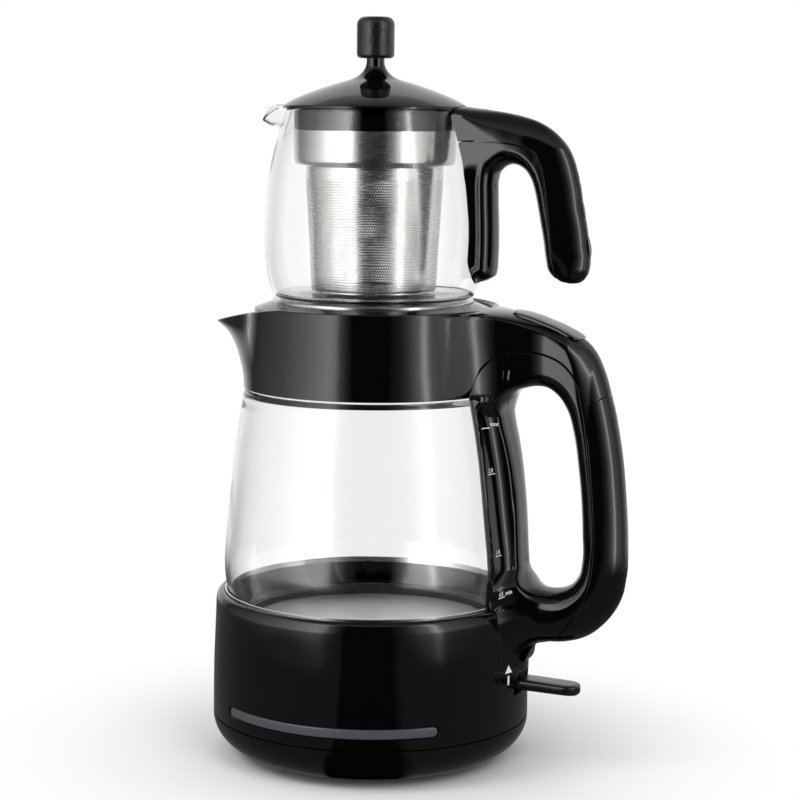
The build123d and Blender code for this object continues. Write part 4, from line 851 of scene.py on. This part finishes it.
def dash(name, length, side, z, rise):
    """A printed bar, split into short lengths so that it follows the flange."""
    run = np.linspace(0.0, length, 9)
    low, high = np.stack([run, 0 * run, 0 * run], -1), np.stack([run, dash_thick + 0 * run, 0 * run], -1)
    index = np.arange(8)
    mesh = bpy.data.meshes.new(name)
    mesh.from_pydata(np.vstack([low, high]), [], np.stack([index, index + 1, index + 10, index + 9], -1))
    laid(name, mesh, side, z, rise=rise)


# each level: height of its dash, words, where the dash starts, its length, where the words start and how far above
# the dash, their squeeze and rise
for name, height, words, dash_side, length, word_side, lift, squeeze, rise in [
    ("max", 201.6, "max", -24.6, 6.2, -18.2, 1.2, 0.55, 0.0),
    ("two", 175.3, "2.0", -23.6, 5.6, -23.2, 1.3, 1.0, 0.0),
    ("one", 128.2, "1.0", -23.0, 5.6, -22.6, 1.3, 1.0, 0.0),
    ("half", 104.0, "0.5", -24.1, 2.2, -23.9, 1.3, 0.36, 0.6),
]:
    dash("dash_" + name, length, dash_side, height, rise)
    words_on("level_" + name, words, word_size, word_side, height + lift, squeeze, rise)
words_on("level_min", "min", 3.6, -21.7, 106.2, 0.34, 0.6)

# ---------------------------------------------------------------- tongue and switch arrow
# The foot of the handle laps over the housing as a wide tongue with round corners. A
# white arrow over a bar beside the lever shows which way it switches on.

drum_r = 93.0              # the radius on which its sizes across are measured
tongue_half, tongue_corner = 27.5, 6.0
tongue_low, tongue_high = 51.6, 84.0
slot_top = 57.8
# its middle: height and radius
tongue_front = np.array([
    (51.6, 96.5), (55.0, 96.9), (60.0, 97.3), (65.0, 97.6), (69.0, 97.8), (72.0, 97.6), (76.0, 97.4), (84.0, 97.2),
])


def drum_radius(height):
    """The housing's outside over height."""
    return np.interp(height, [25.9, 58.0, 72.0, 85.0, 91.0, 95.4, 97.4], [94.0, 93.6, 93.0, 92.45, 92.25, 91.7, 90.4])


def tongue_radius(side, height):
    """The tongue stands out most in its middle and sinks into the drum at its edges, over a small round."""
    front = np.interp(height, *tongue_front.T)
    middle = np.cos(np.clip(side / tongue_half, -1, 1) * np.pi / 2) ** 2
    skin = drum_radius(height) + 0.45 + (front - drum_radius(height) - 0.45) * middle
    corner = np.maximum(np.abs(side) - (tongue_half - tongue_corner), 0.0)
    rise = np.maximum(tongue_low + tongue_corner - height, 0.0)
    from_edge = np.where(
        (corner > 0) & (rise > 0), tongue_corner - np.hypot(corner, rise),
        np.minimum(tongue_half - np.abs(side), height - tongue_low),
    )
    round_off = np.clip(from_edge, 0.0, 1.0)
    return skin - 1.1 * (1 - np.sqrt(1 - (1 - round_off) ** 2))


# columns crowd at its edges and at the sides of the lever's slot
extra = np.array([9.28, 9.32, 26.4, 26.8, 27.1, 27.35])
side = np.sort(np.r_[np.sin(np.linspace(-np.pi / 2, np.pi / 2, 61)) * tongue_half, -extra, extra])
corner = np.maximum(np.abs(side) - (tongue_half - tongue_corner), 0.0)
foot = tongue_low + tongue_corner - np.sqrt(np.maximum(tongue_corner**2 - corner**2, 0.0))
foot = np.where(np.abs(side) < lever_slot_half, slot_top, foot)
share = np.r_[0.0, 0.006, 0.015, 0.028, np.linspace(0.045, 1.0, 36)]
level = foot[None, :] + (tongue_high - foot)[None, :] * share[:, None]
across = np.broadcast_to(side, level.shape)
reach = tongue_radius(across, level)
front = polar(reach, across / drum_r, level)
back = polar(np.minimum(reach - 0.4, drum_radius(level) - 0.9), across / drum_r, level)
tongue = shell("handle_tongue", gloss_black, slab_of(front, back))
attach(tongue, "kettle")

for name, outline in [
    ("arrow_head", [(-21.4, 60.0), (-15.4, 60.0), (-18.4, 64.7)]),
    ("arrow_bar", [(-19.15, 53.0), (-17.65, 53.0), (-17.65, 58.4), (-19.15, 58.4)]),
]:
    side, height = np.array(outline).T
    points = polar(tongue_radius(side, height) + 0.15, side / drum_r, height)
    arrow = bpy.data.meshes.new(name)
    arrow.from_pydata(points, [], [list(range(len(points)))])
    printed(name, arrow, points)

# ---------------------------------------------------------------- plugs and screws of the handle
# Two long screws hold the back cover; round glossy plugs, pressed in flush and following
# the cover's curve, hide their heads.

plug_radius, plug_proud, plug_deep = 4.9, 0.12, 1.2


def heading_of(line):
    """The line's direction at each of its points, one long."""
    heading = np.gradient(line, axis=0)
    return heading / np.linalg.norm(heading, axis=1)[:, None]


def plug_on(line, height, half, size):
    """A round plug in the back of a grip. Its face follows the outline, and across it the grip's rounding turned
    about: an edge of some size leaves size (1 - sqrt(1 - (y / half)^2)) at a distance y from the middle."""
    run, heading = run_of(line), heading_of(line)
    at = run[np.argmin(np.abs(line[:, 1] - height) + 1000.0 * (line[:, 0] < line[:, 0].max() - 16.0))]
    turn = np.linspace(0.0, 2.0 * np.pi, 48, endpoint=False)
    # share of the radius, and height over the grip's surface
    rings = np.array([
        (0.0, 0.0), (0.5, 0.0), (0.9, 0.0), (0.965, -0.05), (1.0, -0.2), (1.0, -plug_deep), (0.0, -plug_deep),
    ])
    along = at + plug_radius * rings[:, :1] * np.cos(turn)
    across = plug_radius * rings[:, :1] * np.sin(turn)
    out = plug_proud + rings[:, 1:] - size * (1.0 - np.sqrt(1.0 - (across / half) ** 2))
    x = np.interp(along, run, line[:, 0]) - out * np.interp(along, run, heading[:, 1])
    z = np.interp(along, run, line[:, 1]) + out * np.interp(along, run, heading[:, 0])
    return np.stack([x, across, z], -1)


plug_heights, back_round = (211.5, 122.0), 24.0
plugs = [plug_on(outer_line, height, grip_width, back_round) for height in plug_heights]
plugs = shell("handle_plugs", gloss_black, *plugs)
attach(plugs, "kettle")
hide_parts("screw_plugs")
dress(steel, "steel", "handle_screws")

# ---------------------------------------------------------------- switch lever
# A flat black rocker with a round tip that comes out of the tongue's slot and droops a
# little. It turns on a steel pin inside the housing.

lever_root, lever_tip = 77.0, 130.3
lever_half, lever_thick = 8.4, 7.0
lever_z, lever_droop = 51.0, 1.4      # its middle at the pin, and how far it sinks over 50 mm


def blunted(steps, order):
    """Both coordinates of a circle that is drawn out towards a square: each cosine and sine to a low power."""
    turn = np.linspace(0, 2 * np.pi, steps, endpoint=False)
    return [np.sign(wave) * np.abs(wave) ** order for wave in (np.cos(turn), np.sin(turn))]


def lever_sections():
    """Rounded-box sections along the lever: a power curve of order four and a half, closed at the tip by an arc
    in plan and a tighter one in height."""
    round_from = lever_tip - lever_half
    over_tip = round_from + lever_half * np.sin(np.linspace(0, np.pi / 2, 16))
    run = np.r_[np.linspace(lever_root, round_from, 22)[:-1], over_tip]
    past = np.clip((run - round_from) / lever_half, 0.0, 1.0)
    wide = lever_half * np.sqrt(np.maximum(1 - past**2, 0.0))
    thick = lever_thick / 2 * np.maximum(1 - past**9, 0.0) ** 0.35
    thick = thick * np.interp(run, [77, 100, 122], [1.0, 0.96, 0.9])
    middle = lever_z - lever_droop * (run - 80.0) / 50.0
    y, z = blunted(56, 2 / 4.5)
    grid = np.stack([run[:, None] + 0 * y, wide[:, None] * y, middle[:, None] + thick[:, None] * z], -1)
    return capped(grid)[:-1]


lever_black = plastic("lever_black", (0.004, 0.004, 0.0045), 0.16, 0.24, 0.0003, 0.4, 1500.0)
lever = shell("lever", lever_black, lever_sections(), fold=50.0)
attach(lever, "switch_lever")
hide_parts("switch_lever")
dress(steel, "steel", "lever_pin")

# ---------------------------------------------------------------- release button
# A long black bar let into the top of the bridge. It rocks on a steel pin, held up by a
# small spring, and draws back the latch of the kettle's lid.

button_line = smooth_line([
    (87.9, 267.45), (95, 266.15), (101.8, 264.35), (108.2, 262.1), (112.4, 260.7), (118, 258.3), (123.1, 255.8),
    (128.4, 252.7),
], 60)
# half its width, its thickness, how far it stands out of the bridge, and the length of its round ends
button_half, button_deep, button_lift, button_ends = 10.6, 3.0, 0.45, 9.0
pocket_half, pocket_deep, pocket_lift, pocket_ends = button_half + 0.55, 8.6, 3.4, 9.4


def bar_on(line, half, deep, top_lift, ends):
    """A bar whose top follows a line. Across it a rounded-box section, narrowed to a round at both ends."""
    run, heading = run_of(line), heading_of(line)
    near_end = np.clip(np.minimum(run, run[-1] - run) / ends, 0.0, 1.0)
    wide = half * (1 - (1 - near_end) ** 3.2) ** (1 / 3.2)
    upward = np.stack([-heading[:, 1], heading[:, 0]], -1)
    y, up = blunted(60, 0.38)
    height = top_lift + (up - 1) * deep / 2
    centre = line[:, None, :] + upward[:, None, :] * height[None, :, None]
    grid = np.stack([centre[..., 0], wide[:, None] * y[None, :], centre[..., 1]], -1)
    grid[..., 2] += 0.35 * (1 - (grid[..., 1] / half) ** 2) * np.clip(up, 0, 1)
    return capped(grid)


button = bar_on(button_line, button_half, button_deep, button_lift, button_ends)
button = shell("button", gloss_black, button, fold=60.0)
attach(button, "release_button")
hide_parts("release_button")
pocket_line = button_line.copy()
for end, beside in ((0, 1), (-1, -2)):
    pocket_line[end] += (button_line[end] - button_line[beside]) * 0.45
pocket = bar_on(pocket_line, pocket_half, pocket_deep, pocket_lift, pocket_ends)
cut(bridge, shell("pocket", gloss_black, pocket))
dress(satin_black, "satin_black", "lid_latch")
dress(steel, "steel", "button_pin", "button_spring")

# ---------------------------------------------------------------- kettle lid
# A black cone that drops into the collar's mouth. The teapot stands on the bright steel
# ring on its top, over the open well that lets the steam rise.

dress(gloss_black, "gloss_black", "kettle_lid")
dress(steel, "steel", "lid_plate")
dress(silicone, "silicone", "lid_gasket", "collar_gasket")

# ---------------------------------------------------------------- teapot glass
# A blown pot with a rounded foot. Its rim is drawn out into a short curled lip for
# pouring, over the kettle's own spout.

pot_side = [
    (0.0, 271.35), (30.0, 271.35), (50.0, 271.4), (54.0, 271.6), (56.6, 272.3), (58.4, 273.6), (59.6, 275.8),
    (60.9, 279.5), (61.9, 283.6), (62.9, 289.5), (63.5, 296.4), (63.95, 303.5), (64.0, 311.0), (63.8, 318.5),
    (63.1, 326.3), (62.4, 335), (61.4, 343.4), (60.3, 350), (58.9, 356.0),
]
pot_neck = [(58.9, 356.0), (57.6, 361.0), (56.1, 366.5), (54.5, 371.5), (52.9, 376.5), (51.5, 380.9)]
lip_line = [(58.9, 356.0), (58.0, 361.0), (58.0, 365.5), (60.6, 369.0), (66.0, 370.7), (71.2, 373.4)]
lip_half = 13.0            # degrees
pot_walls = [3.0, 2.6, 2.2, 1.9]     # its thickness at the foot's middle, the foot, the side and the rim
pot_top = 383.2

side = smooth_line(pot_side, 90)
neck = smooth_line(pot_neck, 30)
lip = smooth_line(lip_line, 30)
degrees = np.degrees(np.linspace(-np.pi, np.pi, 220, endpoint=False))
# more columns over the lip
degrees = np.sort(np.r_[degrees[np.abs(degrees) > 16], np.linspace(-16, 16, 65)[:-1]])
pull = np.clip(1 - (degrees / lip_half) ** 2, 0.0, 1.0) ** 1.5
arch = 4.4 * (4 * pull * (1 - pull)) ** 0.7
level = np.linspace(0, 1, 30)[:, None]
neck_r = neck[:, :1] + pull * (lip[:, :1] - neck[:, :1])
neck_z = neck[:, 1:] + pull * (lip[:, 1:] - neck[:, 1:]) + arch * level**3
pot_r = np.vstack([side[:-1, :1] + 0 * degrees, neck_r])
pot_z = np.vstack([side[:-1, 1:] + 0 * degrees, neck_z])
angle = np.radians(degrees)
outer = polar(-pot_r, angle, pot_z)
along_rows = np.gradient(outer, axis=0)
round_columns = np.roll(outer, -1, axis=1) - np.roll(outer, 1, axis=1)
normal = np.cross(round_columns, along_rows)
normal[0] = normal[1]
normal /= np.maximum(np.linalg.norm(normal, axis=2, keepdims=True), 1e-9)
normal *= np.sign((normal[..., :2] * outer[..., :2]).sum(-1).mean())
wall = np.interp(np.arange(len(outer)), [0, 50, 60, len(outer) - 1], pot_walls)[:, None, None]
inner = outer - normal * wall
# a fire-rounded rim joins the outside to the inside
rim = (outer[-1] + inner[-1]) / 2 + (0, 0, 0.9)
crest, crest_in = (wall[-1] + (rim - wall[-1]) * 0.55 + (0, 0, 0.45) for wall in (outer, inner))
pot = np.concatenate([outer, crest[None], rim[None], crest_in[None], inner[::-1]])
pot[..., 2] = np.minimum(pot[..., 2], pot_top)
pot = shell("pot", clear_glass, pot, fold=60.0)
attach(pot, "teapot")
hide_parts("teapot_glass")

# ---------------------------------------------------------------- teapot handle
# Two glossy mouldings: the lower one is the spine on the glass and the underside of the
# arch, the upper one the arch and the grip. A screw behind a plug holds them together.

pot_opening = smooth_line([
    (70.7, 284.9), (74.0, 286.2), (75.2, 289), (75.8, 296), (76, 311.4), (75.4, 332.3), (75.4, 340.9), (76.7, 345.7),
    (79.9, 348.9), (84.4, 350.6), (88.2, 350.1), (91.9, 348.1), (95.9, 343.1), (98.2, 337.1), (100.2, 328.5),
    (102.2, 318.2), (104.2, 307.9), (105.8, 297.5), (107.3, 291.5), (110.9, 287.3), (116.4, 284.5),
], 500)
pot_outside = smooth_line([
    (40, 383.8), (52.5, 383.5), (61.8, 382.2), (71, 381.1), (80.2, 379.9), (89.3, 377.8), (98.4, 375.3),
    (105.7, 371.5), (112.1, 366.5), (116.7, 361.4), (120.4, 354.6), (122.8, 347), (124.8, 338.5),
    (126.8, 325.7), (128.8, 317.2), (130.3, 306.1), (131.3, 297.5), (130.2, 290.6), (127.2, 286.2),
    (121.9, 284), (116.4, 284.5),
], 600)
# the opening's edge and the parting line, from the spine's foot to the grip's end
pot_lower = smooth_line([
    (72.2, 285.4, 66.2, 282.9), (74.6, 287.2, 64.6, 286.0), (75.6, 291.5, 63.0, 290.5), (75.8, 297, 61.6, 296),
    (76, 311.4, 61.6, 311), (75.5, 328, 60.9, 328), (75.3, 338, 59.6, 341), (75.6, 342.5, 57.6, 352),
    (77.0, 346.2, 56.6, 362.9), (79.9, 348.9, 63, 363.3), (84.4, 350.6, 73.5, 363.1),
    (88.2, 350.1, 84.5, 362.4), (91.9, 348.1, 93.5, 360.6), (95.9, 343.1, 100.3, 356.6),
    (98.2, 337.1, 104.0, 350), (100.2, 328.5, 106.6, 340), (102.2, 318.2, 108.5, 325),
    (104.2, 307.9, 110.3, 310), (105.8, 297.5, 111.8, 298), (107.2, 291.9, 112.6, 291.5),
    (109.4, 288.6, 113.2, 287.0),
], 260)
# the parting line again and the outer outline
pot_upper = smooth_line([
    (54.5, 363.5, 50.0, 383.6), (63, 363.7, 61.8, 382.2), (73.5, 363.5, 74, 380.7), (84.5, 362.8, 88, 378.2),
    (93.7, 361.0, 100, 374.6), (100.6, 356.9, 109, 369.2), (104.4, 350.2, 116.3, 361.8),
    (107.0, 340, 122.2, 349), (108.9, 325, 125.9, 331.5), (110.7, 310, 129.2, 314), (112.2, 298, 131.3, 299),
    (113.0, 291.5, 129.6, 289.2), (113.6, 287.2, 125.5, 285.0), (115.0, 285.4, 119.0, 284.3),
], 260)
pot_grip_half, pot_back_round = 13.2, 30.0
pot_plug_z = 336.0


def pot_depth(x, z):
    """Half the teapot handle's thickness over its side view: a slim grip rounded at both edges; towards the glass
    a slanted panel, then a shallow cove, then the rounded column beside the opening."""
    points = np.stack([x, z], -1).reshape(-1, 2)
    from_opening = nearest(pot_opening, points).reshape(x.shape)
    from_outside = nearest(pot_outside, points).reshape(x.shape)
    spine = np.clip((80.0 - x) / 6.0, 0.0, 1.0) * np.clip((352.0 - z) / 10.0, 0.0, 1.0)
    panel = np.interp(from_opening, [6.5, 9.0, 12.0, 16.5], [0.0, -0.9, 0.2, 2.2])
    width = pot_grip_half - 1.2 * spine + spine * panel
    opening_round = np.interp(x, [76.0, 84.0, 95.0], [7.5, 9.5, 10.5])
    outside_round = np.interp(x, [58, 75, 100], [6.0, 16.0, pot_back_round])
    return width * np.minimum(rounding(from_opening, opening_round), rounding(from_outside, outside_round))


def against_pot(grid):
    """Pushed out to just off the pot's glass."""
    profile = np.vstack([side, neck])
    reach = np.interp(grid[..., 2], profile[40:, 1], profile[40:, 0]) + 0.35
    return pushed_out(grid, np.where(grid[..., 2] > 380.9, 54.2, reach))


for name, first, second, columns in [
    ("lower", pot_lower[:, :2], pot_lower[:, 2:], 26), ("upper", pot_upper[:, 2:], pot_upper[:, :2], 30),
]:
    half = against_pot(ended(strip_between(first, second, columns, pot_depth, 0.35)))
    half = shell("pot_handle_" + name, gloss_black, half)
    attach(half, "teapot")
    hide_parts("teapot_handle_" + name)
pot_plug = plug_on(pot_outside, pot_plug_z, pot_grip_half, pot_back_round)
pot_plug = shell("pot_handle_plug", gloss_black, pot_plug)
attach(pot_plug, "teapot")
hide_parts("teapot_plug")
dress(steel, "steel", "teapot_screw")
dress(silicone, "silicone", "handle_pad")

# ---------------------------------------------------------------- filter
# A pressed steel cup that hangs from the lid. Its collar has a rolled lower edge, and
# its tapered wall and its bottom are punched with fine rows of holes.

punched_rows = (277.6, 341.0)
hole_pitch = 1.5           # mm along the wall
holes_round = 158

punched = metal("punched_steel", (0.66, 0.645, 0.625), 0.16, 0.3, 0.000006, 1900.0)
tree = punched.node_tree
_, x, y, z = place_of(tree)
along = math_of(tree, "MULTIPLY", math_of(tree, "ARCTAN2", y, x), holes_round / (2 * math.pi))
up = math_of(tree, "MULTIPLY", z, 1000.0 / hole_pitch)
# every second row is moved by half a hole
row = math_of(tree, "MULTIPLY", math_of(tree, "WRAP", math_of(tree, "FLOOR", up), 2.0, 0.0), 0.5)
along = math_of(tree, "ADD", along, row)
off_x, off_z = (math_of(tree, "SUBTRACT", math_of(tree, "FRACT", value), 0.5) for value in (along, up))
off = math_of(tree, "MULTIPLY_ADD", off_x, off_x, math_of(tree, "MULTIPLY", off_z, off_z))
hole = step_of(tree, math_of(tree, "SQRT", off), 0.30, 0.36, 1.0, 0.0)
for operation, limit in zip(("GREATER_THAN", "LESS_THAN"), punched_rows):
    hole = math_of(tree, "MULTIPLY", hole, math_of(tree, operation, z, limit * mm))
fill(tree, tree.nodes["Principled BSDF"], Alpha=math_of(tree, "SUBTRACT", 1.0, hole))

sheet = 0.5                # its thickness
collar_profile = [
    (47.0, 368.6), (47.0, 360.0), (46.9, 354.0), (46.7, 351.4), (46.1, 349.9), (45.0, 349.05), (43.6, 348.85),
    (41.2, 348.85), (40.2, 348.5), (39.95, 347.6), (39.9, 345.0),
]


def sheet_wall(profile):
    """A thin sheet's profile: the outer line and back along the same line moved inwards by its thickness."""
    heading = heading_of(profile)
    inward = np.stack([heading[:, 1], -heading[:, 0]], -1)
    inward *= -np.sign(inward[:, 0].mean())
    return np.vstack([profile, (profile + inward * sheet)[::-1]])


filter_ring = turned(sheet_wall(smooth_line(collar_profile, 44)), 200)
filter_ring = shell("filter_ring", steel, filter_ring, rows_round=True, fold=50.0)
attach(filter_ring, "filter")
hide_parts("filter_collar")
cup_profile = [
    (39.95, 346.5), (39.9, 341.0), (38.8, 320.0), (37.6, 298.0), (36.6, 279.5), (36.35, 277.2), (35.7, 276.2),
]
cup = turned(sheet_wall(smooth_line(cup_profile, 60)), 240)
cup = shell("filter_cup", punched, cup, rows_round=True, fold=50.0)
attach(cup, "filter")
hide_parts("filter_basket")
dress(punched, "steel", "filter_bottom")

# ---------------------------------------------------------------- teapot lid and knob
# A glossy black dome with a waisted stem and a soft-touch knob screwed on top. Its
# skirt goes down into the pot and has a lug that locks the filter's collar.

dress(gloss_black, "gloss_black", "teapot_lid", "lid_skirt")
knob_soft = plastic("knob_soft", (0.006, 0.006, 0.0065), 0.26, 0.4, 0.0006, 0.35, 420.0)
dress(knob_soft, "satin_black", "knob")
dress(steel, "steel", "knob_screw")
lug_place = (math.radians(-58.0), 47.0, 372.2)      # angle, radius and height of its middle
lug_levels = [(1.9, -0.6), (0.0, -0.6), (0.0, 0.25), (0.15, 0.5), (0.5, 0.62), (1.9, 0.66)]
lug = shell("skirt_lug", gloss_black, along_wall(long_pill(5.6, 2.0, lug_levels), *lug_place))
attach(lug, "teapot_lid")
